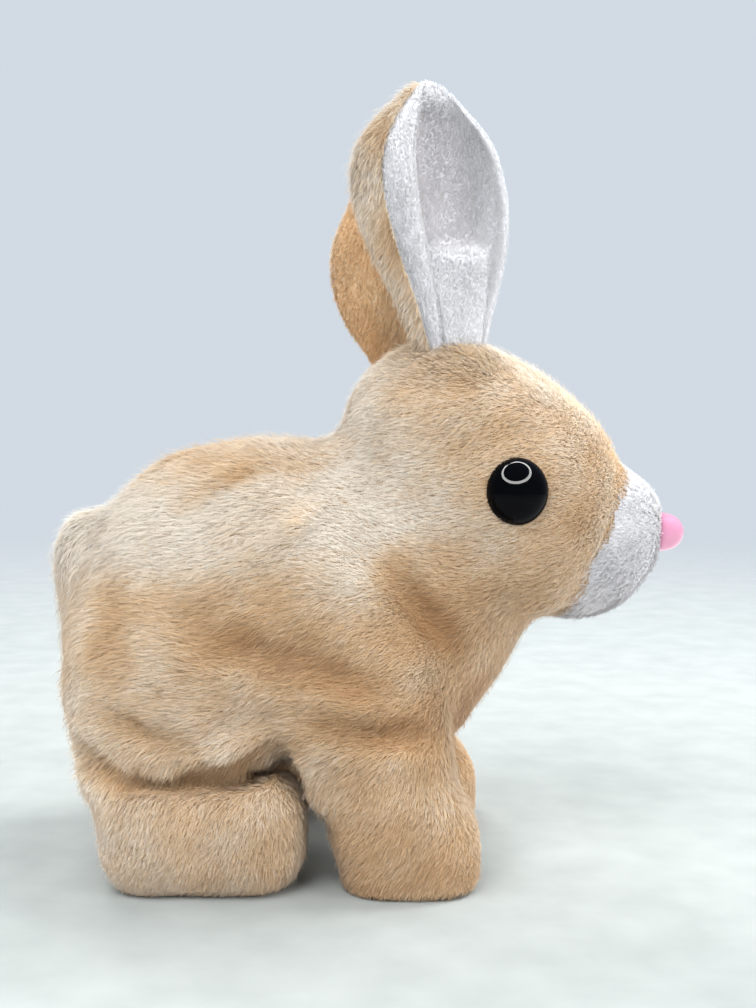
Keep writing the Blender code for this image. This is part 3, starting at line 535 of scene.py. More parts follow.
def simulated(points, quads, held):
    """The points after some frames of cloth under pressure, held at the pinned ones."""
    scene = bpy.context.scene
    cloth = new_mesh("stuffing_cloth", points, quads, None)
    group = cloth.vertex_groups.new(name="pinned")
    for index in np.flatnonzero(held > 0.02):
        group.add([int(index)], float(held[index]), "REPLACE")
    modifier = cloth.modifiers.new("cloth", "CLOTH")
    modifier.settings.quality = 5
    modifier.settings.use_pressure = True
    modifier.settings.uniform_pressure_force = CLOTH_PRESSURE
    modifier.settings.effector_weights.gravity = 0
    modifier.settings.vertex_group_mass = "pinned"
    modifier.point_cache.frame_end = CLOTH_FRAMES
    for frame in range(1, CLOTH_FRAMES + 1):
        scene.frame_set(frame)
    evaluated = cloth.evaluated_get(bpy.context.evaluated_depsgraph_get())
    moved = np.empty(len(points) * 3, np.float32)
    evaluated.data.vertices.foreach_get("co", moved)
    bpy.data.objects.remove(cloth)
    scene.frame_set(1)
    return moved.reshape(-1, 3).astype(float) / MM


# ---------------------------------------------------------------- pile

def comb(points):
    """The way the pile is combed at each point, before it is laid on the surface."""
    x, y, z = points.T
    flat = np.zeros(len(x))
    way = np.stack([flat - 1.0, flat, flat - 0.22], 1)
    on_head = smooth_step(-4, 22, x) * smooth_step(78, 92, z)
    outwards, rise = 0.25 * y / (np.abs(y) + 6), 0.1 - 0.25 * smooth_step(110, 84, z)
    way += on_head[:, None] * np.stack([flat, outwards, rise], 1)
    down = np.stack([flat - 0.25, flat, flat - 1.0], 1)
    way = blended(way, down, smooth_step(48, 26, z))
    way = blended(way, down, smooth_step(-60, -80, x))
    chest = 0.7 * smooth_step(20, 40, x) * smooth_step(76, 62, z)
    return blended(way, down, chest)


def blended(first, second, share):
    return first * (1 - share)[:, None] + second * share[:, None]


def pile_length(points):
    """Millimetres of pile: short on the face and paws, long over the back and rump."""
    x, y, z = points.T
    length = 3.2 + 1.4 * smooth_step(10, -25, x)
    on_head = smooth_step(4, 30, x) * smooth_step(72, 90, z)
    length = length * (1 - on_head) + 3.3 * on_head
    on_paw = smooth_step(34, 12, z)
    length = length * (1 - on_paw) + 2.8 * on_paw
    to_muzzle = smooth_step(10, 1, muzzle_edge(z) - x)
    return length * (1 - 0.35 * to_muzzle)


def pile_lift(points):
    """Least and most that the pile stands up, as shares of its length; it stands round the ears' feet."""
    x, y, z = points.T
    to_ear = np.hypot((x - 22) / 1.3, np.abs(y) - 13)
    standing = 0.7 * smooth_step(15, 9, to_ear) * smooth_step(120, 128, z)
    return np.stack([0.22 + standing, 0.46 + standing], 1)


def fur_tone_and_painted_light(points, rng):
    """0 for tan, 1 for cream, varying at random; painted light pales it on the upper back and neck, painted
    shade deepens it in the creases, low on the haunch and chest and under the head; paler towards the rump, a
    little deeper on the face.
    """
    x, y, z = points.T
    tone = 0.70 + 0.19 * waves(points, 34, SEED + 6) + 0.08 * waves(points, 9, SEED + 7)
    # painted light: paler on the upper back and the neck, where light falls from above
    tone += 0.24 * smooth_step(62, 96, z) * smooth_step(22, 2, x)
    tone += 0.10 * smooth_step(-52, -80, x)
    # painted shade: deeper low on the haunch and low on the chest and front legs
    tone -= 0.17 * smooth_step(56, 40, z) * smooth_step(-66, -40, x)
    tone -= 0.19 * smooth_step(58, 44, z) * smooth_step(-14, 0, x)
    # painted shade under the head, where it meets the chest
    painted_cheek_shade = smooth_step(0, 14, x) * smooth_step(38, 20, x) * smooth_step(56, 66, z) * smooth_step(94, 82, z)
    tone -= 0.45 * painted_cheek_shade
    tone -= 0.08 * smooth_step(20, 34, x) * smooth_step(84, 100, z)
    # painted shade in the creases, by how deep each is pressed in
    tone -= 0.36 * smooth_step(0.2, 3.6, -plain_distance(points))
    return tone + rng.normal(0, 0.12, len(x))


def laid(way, normals):
    """Directions turned flat onto the surface."""
    return unit(way - np.sum(way * normals, axis=1)[:, None] * normals)


def fibres(name, roots, normals, way, length, tone, finish, rng, lift):
    """Tapered ribbons of two segments each, rooted under the surface and bending over to lie down."""
    count = len(roots)
    side = np.cross(normals, way)
    wander = 0.26 * waves(roots, 30, SEED + 1) + 0.12 * waves(roots, 6, SEED + 2) + rng.normal(0, 0.15, count)
    way = laid(way + side * wander[:, None], normals)
    side = np.cross(normals, way)
    rise = 0.5 + 0.5 * waves(roots, 10, SEED + 3) + rng.normal(0, 0.35, count)
    rise = np.clip(lift[..., 0] + (lift[..., 1] - lift[..., 0]) * rise, 0.1, 1.0)
    rise = np.where(rng.random(count) < FLYAWAYS, rise + FLYAWAY_RISE, rise)[:, None]
    size = length * (0.84 + 0.08 * waves(roots, 12, SEED + 4) + rng.uniform(-0.24, 0.14, count))
    size = size[:, None]
    bend = side * rng.normal(0, 0.12, (count, 1))
    spine = [
        roots - normals * ROOT_DEPTH,
        roots + normals * 0.25 + size * (0.52 * way + 0.50 * rise * normals + 0.3 * bend),
        roots + normals * 0.10 + size * (1.00 * way + 0.75 * rise * normals + bend),
    ]
    spine = [keep_above_ground(points) for points in spine]
    tilt = rng.normal(0, 0.35, (count, 1))
    across = side * np.cos(tilt) + normals * np.sin(tilt)
    half = FIBRE_WIDTH * 0.5 * rng.uniform(0.75, 1.25, (count, 1))
    rings = [
        spine[0] - across * half, spine[0] + across * half,
        spine[1] - across * half * 0.85, spine[1] + across * half * 0.85,
        spine[2],
    ]
    vertices = np.stack(rings, 1).reshape(-1, 3)
    start = np.arange(count)[:, None] * 5
    facing = unit(normals + 0.28 * way + rng.normal(0, 0.16, (count, 3)))
    return ribbon_mesh(name, vertices, start + [0, 1, 3, 2], start + [2, 3, 4], facing, tone, finish)


def keep_above_ground(points):
    points = points.copy()
    points[:, 2] = np.maximum(points[:, 2], PILE_CLEARANCE)
    return points


def ribbon_mesh(name, vertices, quads, tips, facing, tone, finish):
    """Builds the ribbons' mesh from arrays; each ribbon has its height, tone, lie and a cell of UV."""
    mesh = bpy.data.meshes.new(name)
    count = len(tips)
    loops = np.concatenate([quads.ravel(), tips.ravel()])
    starts = np.concatenate([np.arange(count) * 4, count * 4 + np.arange(count) * 3])
    mesh.vertices.add(len(vertices))
    mesh.vertices.foreach_set("co", (vertices * MM).astype(np.float32).ravel())
    mesh.loops.add(len(loops))
    mesh.loops.foreach_set("vertex_index", loops.astype(np.int32))
    mesh.polygons.add(2 * count)
    mesh.polygons.foreach_set("loop_start", starts.astype(np.int32))
    mesh.update(calc_edges=True)
    height = np.tile([0, 0, 0.5, 0.5, 1.0], count)
    set_attribute(mesh, "height", height)
    set_attribute(mesh, "tone", np.repeat(tone, 5))
    lie = mesh.attributes.new("lie", "FLOAT_VECTOR", "POINT")
    lie.data.foreach_set("vector", np.repeat(facing, 5, axis=0).astype(np.float32).ravel())
    columns = math.ceil(math.sqrt(count))
    cell = np.repeat(np.arange(count), 5)
    across = np.tile([0.15, 0.85, 0.15, 0.85, 0.5], count)
    up = 0.1 + 0.8 * height
    spot = np.stack([(cell % columns + across) / columns, (cell // columns + up) / columns], 1)
    layer = mesh.uv_layers.new(name="OFBake")
    layer.data.foreach_set("uv", spot[loops].astype(np.float32).ravel())
    mesh.shade_smooth()
    mesh.materials.append(finish)
    obj = bpy.data.objects.new(name, mesh)
    bpy.context.scene.collection.objects.link(obj)
    return obj


def set_attribute(mesh, name, values):
    mesh.attributes.new(name, "FLOAT", "POINT").data.foreach_set("value", values.astype(np.float32))


# ---------------------------------------------------------------- materials

def shader_of(name, roughness=0.6, metallic=0.0):
    made = bpy.data.materials.new(name)
    made.use_nodes = True
    shader = made.node_tree.nodes["Principled BSDF"]
    shader.inputs["Roughness"].default_value = roughness
    shader.inputs["Metallic"].default_value = metallic
    return made, made.node_tree, shader


def ramp(tree, source, stops):
    """Colours at places from 0 to 1 along the source's value."""
    node = tree.nodes.new("ShaderNodeValToRGB")
    elements = node.color_ramp.elements
    while len(elements) < len(stops):
        elements.new(0.5)
    for element, (place, colour) in zip(elements, stops):
        element.position = place
        element.color = (*colour, 1)
    tree.links.new(source, node.inputs["Fac"])
    return node.outputs["Color"]


def noise(tree, scale, detail=3.0):
    """Noise in object space; scale counts features to a metre."""
    place = tree.nodes.new("ShaderNodeTexCoord")
    node = tree.nodes.new("ShaderNodeTexNoise")
    node.inputs["Scale"].default_value = scale
    node.inputs["Detail"].default_value = detail
    tree.links.new(place.outputs["Object"], node.inputs["Vector"])
    return node.outputs["Fac"]


def bumped(tree, shader, height, strength, distance):
    """Gives the shader a surface texture of a height in mm."""
    bump = tree.nodes.new("ShaderNodeBump")
    bump.inputs["Strength"].default_value = strength
    bump.inputs["Distance"].default_value = distance * MM
    tree.links.new(height, bump.inputs["Height"])
    tree.links.new(bump.outputs["Normal"], shader.inputs["Normal"])


def mixed(tree, amount, first, second, blend_type="MIX"):
    """Two colours blended; the amount is a number or a socket, as each colour is a tuple or a socket."""
    node = tree.nodes.new("ShaderNodeMix")
    node.data_type = "RGBA"
    node.blend_type = blend_type
    if isinstance(amount, float):
        node.inputs["Factor"].default_value = amount
    else:
        tree.links.new(amount, node.inputs["Factor"])
    for socket, value in (("A", first), ("B", second)):
        target = [s for s in node.inputs if s.name == socket and s.type == "RGBA"][0]
        if isinstance(value, tuple):
            target.default_value = (*value, 1)
        else:
            tree.links.new(value, target)
    return [s for s in node.outputs if s.type == "RGBA"][0]


def attribute(tree, name, output="Fac"):
    node = tree.nodes.new("ShaderNodeAttribute")
    node.attribute_name = name
    return node.outputs[output]


def pile_material(name, tones, root, root_shade_share, roughness, sheen, translucent):
    """Fibres, each of its own tone, with painted shade darkening them towards the root, letting light through
    and lit as the pile lies.
    """
    made, tree, shader = shader_of(name, roughness)
    toned = ramp(tree, attribute(tree, "tone"), tones)
    flecks = ramp(tree, noise(tree, 700.0, 1.0), [(0.3, (0.86, 0.85, 0.83)), (0.7, (1, 1, 1))])
    flecked = mixed(tree, 0.6, toned, flecks, "MULTIPLY")
    # painted shade deep in the pile: each fibre turns to the root colour towards its base
    depth = ramp(tree, attribute(tree, "height"), [(0.0, (root_shade_share,) * 3), (0.8, (0, 0, 0))])
    colour = mixed(tree, depth, flecked, root)
    tree.links.new(colour, shader.inputs["Base Color"])
    turn = tree.nodes.new("ShaderNodeVectorTransform")
    turn.vector_type = "NORMAL"
    turn.convert_from, turn.convert_to = "OBJECT", "WORLD"
    tree.links.new(attribute(tree, "lie", "Vector"), turn.inputs["Vector"])
    tree.links.new(turn.outputs["Vector"], shader.inputs["Normal"])
    shader.inputs["Sheen Weight"].default_value = sheen
    shader.inputs["Sheen Roughness"].default_value = 0.5
    shader.inputs["Specular IOR Level"].default_value = 0.3
    through_light = tree.nodes.new("ShaderNodeBsdfTranslucent")
    tree.links.new(colour, through_light.inputs["Color"])
    both = tree.nodes.new("ShaderNodeMixShader")
    both.inputs["Fac"].default_value = translucent
    tree.links.new(shader.outputs["BSDF"], both.inputs[1])
    tree.links.new(through_light.outputs["BSDF"], both.inputs[2])
    tree.links.new(both.outputs["Shader"], tree.nodes["Material Output"].inputs["Surface"])
    return made


def skin_material(name, tones):
    """The backing cloth under the pile."""
    made, tree, shader = shader_of(name, 0.9)
    tree.links.new(ramp(tree, noise(tree, 60.0), tones), shader.inputs["Base Color"])
    bumped(tree, shader, noise(tree, 1400.0, 2.0), 0.5, 0.4)
    return made


def plastic_material(name, colour, roughness, metallic=0.0, grain=2200.0):
    """Moulded plastic or metal: faint mottling and a fine texture on the surface."""
    made, tree, shader = shader_of(name, roughness, metallic)
    darker = tuple(channel * 0.86 for channel in colour)
    mottled = ramp(tree, noise(tree, 120.0), [(0.35, darker), (0.65, colour)])
    tree.links.new(mottled, shader.inputs["Base Color"])
    bumped(tree, shader, noise(tree, grain, 2.0), 0.25, 0.05)
    return made


def make_finishes():
    beige = [(0.0, (0.62, 0.38, 0.19)), (0.45, (0.81, 0.61, 0.39)), (1.0, (0.96, 0.91, 0.82))]
    # painted glow and shade: the far ear's pile is a warmer, darker copy of the beige, for light shining
    # through it
    far_ear_painted_glow = [(0.0, (0.76, 0.44, 0.19)), (0.5, (0.92, 0.63, 0.35)), (1.0, (0.95, 0.76, 0.50))]
    # its grey end is painted shade, reached under the chin and inside the ears
    white = [(0.0, (0.76, 0.71, 0.71)), (0.5, (0.88, 0.87, 0.88)), (1.0, (0.95, 0.95, 0.97))]
    # painted shade deep in the pile: the body's backing cloth is far darker than its fibres
    deep = [(0.3, (0.36, 0.23, 0.12)), (0.7, (0.46, 0.31, 0.18))]
    return {
        "beige_pile": pile_material("beige_pile", beige, (0.60, 0.39, 0.21), 0.36, 0.5, 0.2, 0.4),
        "beige_skin": skin_material("beige_backing_painted_shade", deep),
        "ear_skin": skin_material("ear_backing", [(0.3, (0.74, 0.56, 0.37)), (0.7, (0.84, 0.68, 0.48))]),
        "far_ear_painted_glow_pile": pile_material("far_ear_painted_glow_pile", far_ear_painted_glow, (0.70, 0.42, 0.21), 0.4, 0.5, 0.2, 0.4),
        "white_pile": pile_material("white_pile", white, (0.72, 0.71, 0.73), 0.3, 0.8, 0.3, 0.22),
        "white_skin": skin_material("white_backing", [(0.3, (0.66, 0.65, 0.67)), (0.7, (0.76, 0.76, 0.79))]),
        "eye": eye_material(),
        "nose": plastic_material("nose_pink", (0.48, 0.20, 0.30), 0.30, 0.0, 200.0),
    }


def eye_material():
    """Black glossy plastic with the faintest blue cloud inside."""
    made, tree, shader = shader_of("eye_black", 0.02)
    cloud = ramp(tree, noise(tree, 120.0), [(0.3, (0.0006, 0.0006, 0.0008)), (0.7, (0.001, 0.0012, 0.002))])
    tree.links.new(cloud, shader.inputs["Base Color"])
    shader.inputs["Specular IOR Level"].default_value = 0.035
    return made


# ---------------------------------------------------------------- build

def make_coat(finishes):
    rng = np.random.default_rng(SEED)
    vertices, quads = surface_net(coat_distance, *NET_BOX, NET_STEP)
    vertices = settle(coat_distance, vertices)
    vertices = stuffed(vertices)
    middles = vertices[quads].mean(axis=1)
    region = region_of(middles)
    skins = [
        ("coat_body", BODY), ("coat_front_legs", FRONT), ("coat_hind_legs", HIND), ("muzzle_skin", WHITE),
    ]
    made = {}
    for name, number in skins:
        chosen = quads[region == number]
        used, renumbered = np.unique(chosen, return_inverse=True)
        finish = finishes["white_skin" if number == WHITE else "beige_skin"]
        made[name] = new_mesh(name, vertices[used], renumbered.reshape(-1, 4), finish)
    above_ground = middles[:, 2] > 1.4
    roots, normals = sample_sheet(vertices, quads, PILE_PER_MM2, rng, above_ground)
    kept = hairy(roots) & (region_of(roots + rng.normal(0, EDGE_SCATTER, roots.shape)) != WHITE)
    roots, normals = roots[kept], normals[kept]
    way = laid(comb(roots), normals)
    length, tone = pile_length(roots), fur_tone_and_painted_light(roots, rng)
    lift = pile_lift(roots)
    for name, chosen in fur_patches(roots, region_of(roots)):
        made[name] = fibres(
            name, roots[chosen], normals[chosen], way[chosen], length[chosen], tone[chosen],
            finishes["beige_pile"], rng, lift[chosen],
        )
    made["fur_muzzle"] = muzzle_pile(vertices, quads, middles[:, 0] > 48, finishes["white_pile"], rng)
    return made


def muzzle_pile(vertices, quads, near_muzzle, finish, rng):
    """White pile combed away from the nose, with painted shade greying it under the chin."""
    roots, normals = sample_sheet(vertices, quads, WHITE_PER_MM2, rng, near_muzzle)
    kept = region_of(roots + rng.normal(0, EDGE_SCATTER, roots.shape)) == WHITE
    kept &= np.linalg.norm(roots - [NOSE_X, 0, NOSE_Z], axis=1) > NOSE_BARE
    roots, normals = roots[kept], normals[kept]
    way = laid(roots - [86, 0, 88], normals)
    # painted shade: greyer under the chin
    tone = 0.72 + rng.normal(0, 0.09, len(roots)) - 0.3 * smooth_step(84, 66, roots[:, 2])
    return fibres("fur_muzzle", roots, normals, way, WHITE_LENGTH, tone, finish, rng, WHITE_LIFT)


def hairy(points):
    """True where the beige pile grows: not under the eyes or over the plastic base."""
    x, y, z = points.T
    eye = (np.hypot(x - EYE_X, z - EYE_Z) < EYE_BARE) & (np.abs(y) > 15)
    base = (np.abs(y) < 19.5) & (z > 24) & (z < 36) & (x > -68) & (x < 16)
    return ~eye & ~base


def fur_patches(points, region):
    """The name and the roots of each fur piece."""
    x, y = points[:, 0], points[:, 1]
    for label, side in SIDES.items():
        half = y >= 0 if side > 0 else y < 0
        for number, (low, high) in enumerate(zip(BAND_EDGES, BAND_EDGES[1:]), 1):
            yield f"fur_band_{number}_{label}", (region == BODY) & half & (x > low) & (x <= high)
        yield f"fur_front_leg_{label}", (region == FRONT) & half
        yield f"fur_hind_leg_{label}", (region == HIND) & half


def attach_coat(made):
    for name, piece in made.items():
        if "front_leg" in name:
            bend(piece, "front_legs", FRONT_SEAM)
        elif "hind_leg" in name:
            bend(piece, "hind_legs", HIND_SEAM)
        else:
            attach(piece, "chassis")
    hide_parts("body_plush", "head_plush", "tail_plush")
    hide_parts("muzzle_plush")
    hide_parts("front_sock_left", "front_sock_right")
    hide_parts("hind_sock_left", "hind_sock_right")


# ---------------------------------------------------------------- ears

LINING_SECTION = [  # across and outwards, as shares of the half-width: front edge to the folded rear rim
    (1.00, 0.24), (0.98, 0.36), (0.91, 0.37), (0.83, 0.18), (0.66, -0.07), (0.36, -0.20), (0.06, -0.22),
    (-0.18, -0.12), (-0.30, 0.08), (-0.34, 0.28), (-0.44, 0.42), (-0.58, 0.46), (-0.70, 0.38), (-0.77, 0.22),
]
BACK_SECTION = [  # from the rear rim round behind to the front edge
    (-0.77, 0.22), (-0.92, 0.10), (-1.00, -0.10), (-0.94, -0.32), (-0.70, -0.48), (-0.34, -0.54),
    (0.04, -0.50), (0.42, -0.36), (0.76, -0.12), (0.95, 0.12), (1.00, 0.24),
]


def through(points, count):
    """Points along a Catmull-Rom curve through the given ones."""
    points = np.array(points, float)
    ends = np.concatenate([[2 * points[0] - points[1]], points, [2 * points[-1] - points[-2]]])
    places = np.linspace(0, len(points) - 1, count)
    first = np.minimum(places.astype(int), len(points) - 2)
    t = (places - first)[:, None]
    a, b, c, d = (ends[first + i] for i in range(4))
    return 0.5 * (2 * b + (c - a) * t + (2 * a - 5 * b + 4 * c - d) * t**2 + (3 * b - a - 3 * c + d) * t**3)


def ear_grid(section, label, columns):
    """Rows of points over one face of an ear, from its foot to its tip."""
    side = SIDES[label]
    shape = through(section, columns)
    stations = through(EAR_OUTLINES[label], EAR_ROWS)
    tip = stations[-1, 0]
    along = np.array([math.cos(EAR_TURN), -side * math.sin(EAR_TURN), 0])
    outwards = np.array([math.sin(EAR_TURN), side * math.cos(EAR_TURN), 0])
    foot = np.array([EAR_X, side * EAR_Y, 0])
    grid = []
    for z, rear, front in stations:
        half_width = max((front - rear) / 2, 0.3)
        middle = (front + rear) / 2 - EAR_X
        depth = half_width * (0.5 + 0.5 * smooth_step(130, 172, z))
        across = (middle + shape[:, 0] * half_width) / math.cos(EAR_TURN)
        out = shape[:, 1] * depth
        if section is LINING_SECTION:
            over_paddle = smooth_step(PADDLE_TOP_Z + 1.2, PADDLE_TOP_Z - 0.6, z)
            in_cup = smooth_step(-0.36, -0.26, shape[:, 0]) * smooth_step(0.90, 0.78, shape[:, 0])
            raised = np.maximum(out, PADDLE_COVER)
            out = out + (raised - out) * over_paddle * in_cup
            at_tip = smooth_step(tip - 9, tip - 3, z) * in_cup
            out = out + (np.maximum(out, 0.36 * depth) - out) * at_tip
        points = foot + across[:, None] * along + out[:, None] * outwards
        points[:, 2] = z
        grid.append(points)
    return np.array(grid)


def grid_quads(rows, columns, flip):
    number = np.arange(rows * columns).reshape(rows, columns)
    quads = np.stack([number[:-1, :-1], number[:-1, 1:], number[1:, 1:], number[1:, :-1]], -1).reshape(-1, 4)
    return quads[:, ::-1] if flip else quads


def make_ears(finishes):
    rng = np.random.default_rng(SEED + 5)
    made = {}
    for label in SIDES:
        for part, section, columns in (("back", BACK_SECTION, 34), ("lining", LINING_SECTION, 60)):
            grid = ear_grid(section, label, columns)
            points = grid.reshape(-1, 3)
            quads = grid_quads(len(grid), columns, label == "right")
            skin = finishes["white_skin" if part == "lining" else "ear_skin"]
            made[f"ear_{part}_skin_{label}"] = new_mesh(f"ear_{part}_skin_{label}", points, quads, skin)
            name = f"ear_{part}_pile_{label}"
            if part == "lining":
                made[name] = lining_pile(name, label, points, quads, finishes["white_pile"], rng)
            else:
                made[name] = back_pile(name, label, points, quads, finishes, rng)
    return made


def back_pile(name, label, points, quads, finishes, rng):
    """Long cream pile on the near ear; short tan pile on the far one, with painted glow and painted shade
    standing for the light that shines through it.
    """
    long = label == "right"
    middles = points[quads].mean(axis=1)
    front = np.interp(middles[:, 2], *np.array(EAR_OUTLINES[label]).T[[0, 2]])
    roots, normals = sample_sheet(points, quads, BACK_PER_MM2, rng, middles[:, 0] < front - 1.5)
    way = laid(np.broadcast_to(np.array([-0.45, 0.0, -1.0]), roots.shape), normals)
    # painted shade: the far ear's pile is set darker
    tone = (0.62 if long else 0.5) + 0.2 * waves(roots, 12, SEED + 8) + rng.normal(0, 0.14, len(roots))
    finish = finishes["beige_pile" if long else "far_ear_painted_glow_pile"]
    return fibres(name, roots, normals, way, BACK_LENGTHS[label], tone, finish, rng, BACK_LIFT)


def lining_pile(name, label, points, quads, finish, rng):
    """Short white pile, with painted shade greying it in the ear's hollow above the paddle."""
    roots, normals = sample_sheet(points, quads, LINING_PER_MM2, rng)
    way = laid(np.broadcast_to(np.array([0.1, 0.0, 1.0]), roots.shape), normals)
    side = SIDES[label]
    out = (roots[:, 0] - EAR_X) * math.sin(EAR_TURN) + (roots[:, 1] * side - EAR_Y) * math.cos(EAR_TURN)
    # painted shade inside the ear's hollow, above the paddle
    painted_cup_shade = smooth_step(2.0, -2.0, out) * smooth_step(PADDLE_TOP_Z - 1, PADDLE_TOP_Z + 1, roots[:, 2])
    tone = 0.95 - 0.75 * painted_cup_shade + rng.normal(0, 0.07, len(roots))
    return fibres(name, roots, normals, way, LINING_LENGTH, tone, finish, rng, LINING_LIFT)


def attach_ears(made):
    for name, piece in made.items():
        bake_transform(piece)
    for label in SIDES:
        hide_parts(f"ear_back_{label}")
        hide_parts(f"ear_lining_{label}")


# ---------------------------------------------------------------- eyes, nose and the plastic inside

def turned_solid(name, profile, steps, finish):
    """A solid of (radius, height) points turned round Z, in mm."""
    bm = bmesh.new()
    verts = [bm.verts.new((radius * MM, 0, height * MM)) for radius, height in profile]
    edges = [bm.edges.new(pair) for pair in zip(verts, verts[1:])]
    bmesh.ops.spin(
        bm, geom=verts + edges, cent=(0, 0, 0), axis=(0, 0, 1), angle=2 * math.pi, steps=steps, use_merge=True
    )
    bmesh.ops.remove_doubles(bm, verts=bm.verts, dist=0.002 * MM)
    bmesh.ops.recalc_face_normals(bm, faces=bm.faces)
    mesh = bpy.data.meshes.new(name)
    bm.to_mesh(mesh)
    bm.free()
    mesh.shade_smooth()
    mesh.materials.append(finish)
    obj = bpy.data.objects.new(name, mesh)
    bpy.context.scene.collection.objects.link(obj)
    return obj


def make_eyes(finishes):
    """Flattened domes with a rim and a shank, pushed through the coat."""
    made = []
    dome = [(EYE_RADIUS * math.sin(a), EYE_DOME * math.cos(a)) for a in np.linspace(0.0, math.pi / 2, 16)]
    rim = [(EYE_RADIUS, -0.8), (7.0, -1.6), (2.4, -1.8), (2.4, -18.0), (0.0, -18.0)]
    for label, side in SIDES.items():
        eye = turned_solid(f"eye_dome_{label}", dome + rim, 64, finishes["eye"])
        eye.rotation_euler = (-side * math.pi / 2, 0, 0)
        eye.scale = EYE_SCALE
        eye.location = Vector((EYE_X, side * EYE_Y, EYE_Z)) * MM
        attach(eye, "chassis")
        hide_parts(f"eye_{label}")
        made.append(eye)
    return made


def make_nose(finishes):
    """A rounded button, a little wider at the top than below."""
    bm = bmesh.new()
    bmesh.ops.create_cube(bm, size=2.0)
    bmesh.ops.subdivide_edges(bm, edges=bm.edges[:], cuts=3, use_grid_fill=True)
    for vert in bm.verts:
        way = vert.co.normalized()
        deep = NOSE_FRONT if way.x > 0 else NOSE_BACK
        wide = NOSE_WIDE * (1.0 + 0.14 * way.z)
        vert.co = Vector((way.x * deep, way.y * wide, way.z * NOSE_HIGH)) * MM
    mesh = bpy.data.meshes.new("nose_button")
    bm.to_mesh(mesh)
    bm.free()
    mesh.shade_smooth()
    mesh.materials.append(finishes["nose"])
    nose = bpy.data.objects.new("nose_button", mesh)
    bpy.context.scene.collection.objects.link(nose)
    nose.location = Vector((NOSE_X, 0, NOSE_Z)) * MM
    smooth = nose.modifiers.new("round", "SUBSURF")
    smooth.levels = smooth.render_levels = 2
    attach(nose, "nose_unit")
    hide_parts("nose")


def finish_cad_nodes(frame):
    """Every solid carried over from the frame gets its own moulded, metal or rubber look."""
    looks = {
        "shell": ((0.80, 0.79, 0.76), 0.45, 0.0), "gear": ((0.88, 0.87, 0.82), 0.4, 0.0),
        "leg": ((0.74, 0.72, 0.68), 0.5, 0.0), "steel": ((0.58, 0.58, 0.60), 0.3, 1.0),
        "black": ((0.02, 0.02, 0.022), 0.35, 0.0), "pink": ((0.88, 0.40, 0.56), 0.25, 0.0),
        "rubber": ((0.10, 0.10, 0.11), 0.8, 0.0), "board": ((0.04, 0.20, 0.09), 0.4, 0.0),
        "cell": ((0.08, 0.10, 0.28), 0.35, 0.0), "beige_plush": ((0.74, 0.56, 0.36), 0.9, 0.0),
        "white_plush": ((0.85, 0.85, 0.86), 0.9, 0.0),
    }
    made = {slot: plastic_material(f"cad_{slot}", *look) for slot, look in looks.items()}
    for row in frame["record"]["subparts"]:
        node = frame["nodes"][row["node"]]
        node.data.materials.clear()
        node.data.materials.append(made[row["material_slot"]])


def bend(piece, body, seam):
    """Bakes a leg cover's placement into its mesh."""
    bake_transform(piece)


def make_stage(eyes):
    corners = [(x * FLOOR_REACH, y * FLOOR_REACH, 0) for x, y in ((-1, -1), (1, -1), (1, 1), (-1, 1))]
    new_mesh("floor", corners, [(0, 1, 2, 3)], floor_material(), False)
    ring_lamp(eyes)
    make_sky()
    for name, place, size, power in LAMPS:
        light = bpy.data.lights.new(name, "AREA")
        light.shape = "DISK"
        light.size = size
        light.energy = power
        lamp = bpy.data.objects.new(name, light)
        lamp.location = place
        lamp.rotation_euler = (LAMP_AIM - Vector(place)).to_track_quat("-Z", "Y").to_euler()
        lamp.visible_glossy = False
        bpy.context.scene.collection.objects.link(lamp)


def floor_material():
    """Pale matt paper that fades into the backdrop, and lights the toy more than it shows."""
    made, tree, shader = shader_of("floor_paper", 0.85)
    paper = ramp(tree, noise(tree, 60.0, 4.0), [(0.3, (0.29, 0.31, 0.30)), (0.7, (0.33, 0.35, 0.34))])
    path = tree.nodes.new("ShaderNodeLightPath")
    seen = mixed(tree, path.outputs["Is Camera Ray"], (0.7, 0.7, 0.69), paper)
    tree.links.new(seen, shader.inputs["Base Color"])
    place = tree.nodes.new("ShaderNodeTexCoord")
    distance = tree.nodes.new("ShaderNodeVectorMath")
    distance.operation = "LENGTH"
    tree.links.new(place.outputs["Object"], distance.inputs[0])
    fade = ramp(tree, distance.outputs["Value"], [(0.25, (1, 1, 1)), (1.0, (0, 0, 0))])
    tree.links.new(fade, shader.inputs["Alpha"])
    return made


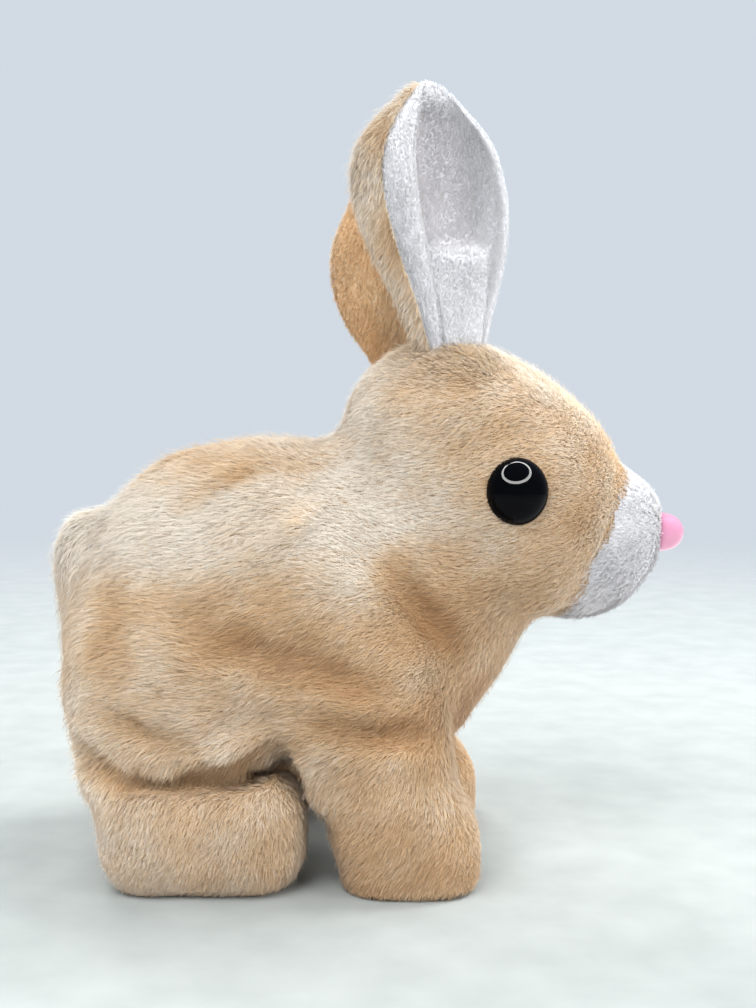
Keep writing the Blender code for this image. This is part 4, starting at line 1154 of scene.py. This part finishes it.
def ring_lamp(eyes):
    """A ring light above the camera that shows only as a reflection in the eyes."""
    vertices, quads = [], []
    for step in range(RING_STEPS):
        angle = 2 * math.pi * step / RING_STEPS
        vertices += [(radius * math.cos(angle), radius * math.sin(angle), 0) for radius in RING_RADII]
        following = (step + 1) % RING_STEPS
        quads.append((2 * step, 2 * step + 1, 2 * following + 1, 2 * following))
    made, _, shader = shader_of("ring_glow", 0.5)
    shader.inputs["Emission Color"].default_value = (1.0, 0.99, 0.97, 1)
    shader.inputs["Emission Strength"].default_value = 150.0
    ring = new_mesh("ring_lamp", vertices, quads, made, False)
    ring.location = RING_PLACE
    ring.rotation_euler = (RING_AIM - RING_PLACE).to_track_quat("-Z", "Y").to_euler()
    ring.visible_camera = ring.visible_diffuse = ring.visible_shadow = False
    receivers = bpy.data.collections.new("ring_receivers")
    for eye in eyes:
        receivers.objects.link(eye)
    ring.light_linking.receiver_collection = receivers
    return ring


def make_sky():
    """Pale blue-grey behind the toy; the light it gives is a little weaker than it looks."""
    world = bpy.data.worlds.new("studio")
    bpy.context.scene.world = world
    world.use_nodes = True
    tree = world.node_tree
    background = tree.nodes["Background"]
    background.inputs["Color"].default_value = (0.83, 0.91, 1.0, 1)
    path = tree.nodes.new("ShaderNodeLightPath")
    strength = tree.nodes.new("ShaderNodeMapRange")
    strength.inputs["To Min"].default_value = 0.68
    strength.inputs["To Max"].default_value = 0.775
    tree.links.new(path.outputs["Is Camera Ray"], strength.inputs["Value"])
    tree.links.new(strength.outputs["Result"], background.inputs["Strength"])


def make_camera():
    data = bpy.data.cameras.new("camera")
    data.lens = CAMERA_LENS
    data.sensor_width = 36
    data.clip_start = 0.01
    camera = bpy.data.objects.new("camera", data)
    camera.location = Vector(CAMERA_PLACE) * MM
    camera.rotation_euler = (math.radians(90 - CAMERA_PITCH), 0, 0)
    bpy.context.scene.collection.objects.link(camera)
    bpy.context.scene.camera = camera
    bpy.context.scene.view_settings.view_transform = "Standard"


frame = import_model()
finishes = make_finishes()
finish_cad_nodes(frame)
attach_coat(make_coat(finishes))
attach_ears(make_ears(finishes))
eyes = make_eyes(finishes)
make_nose(finishes)
make_stage(eyes)
make_camera()
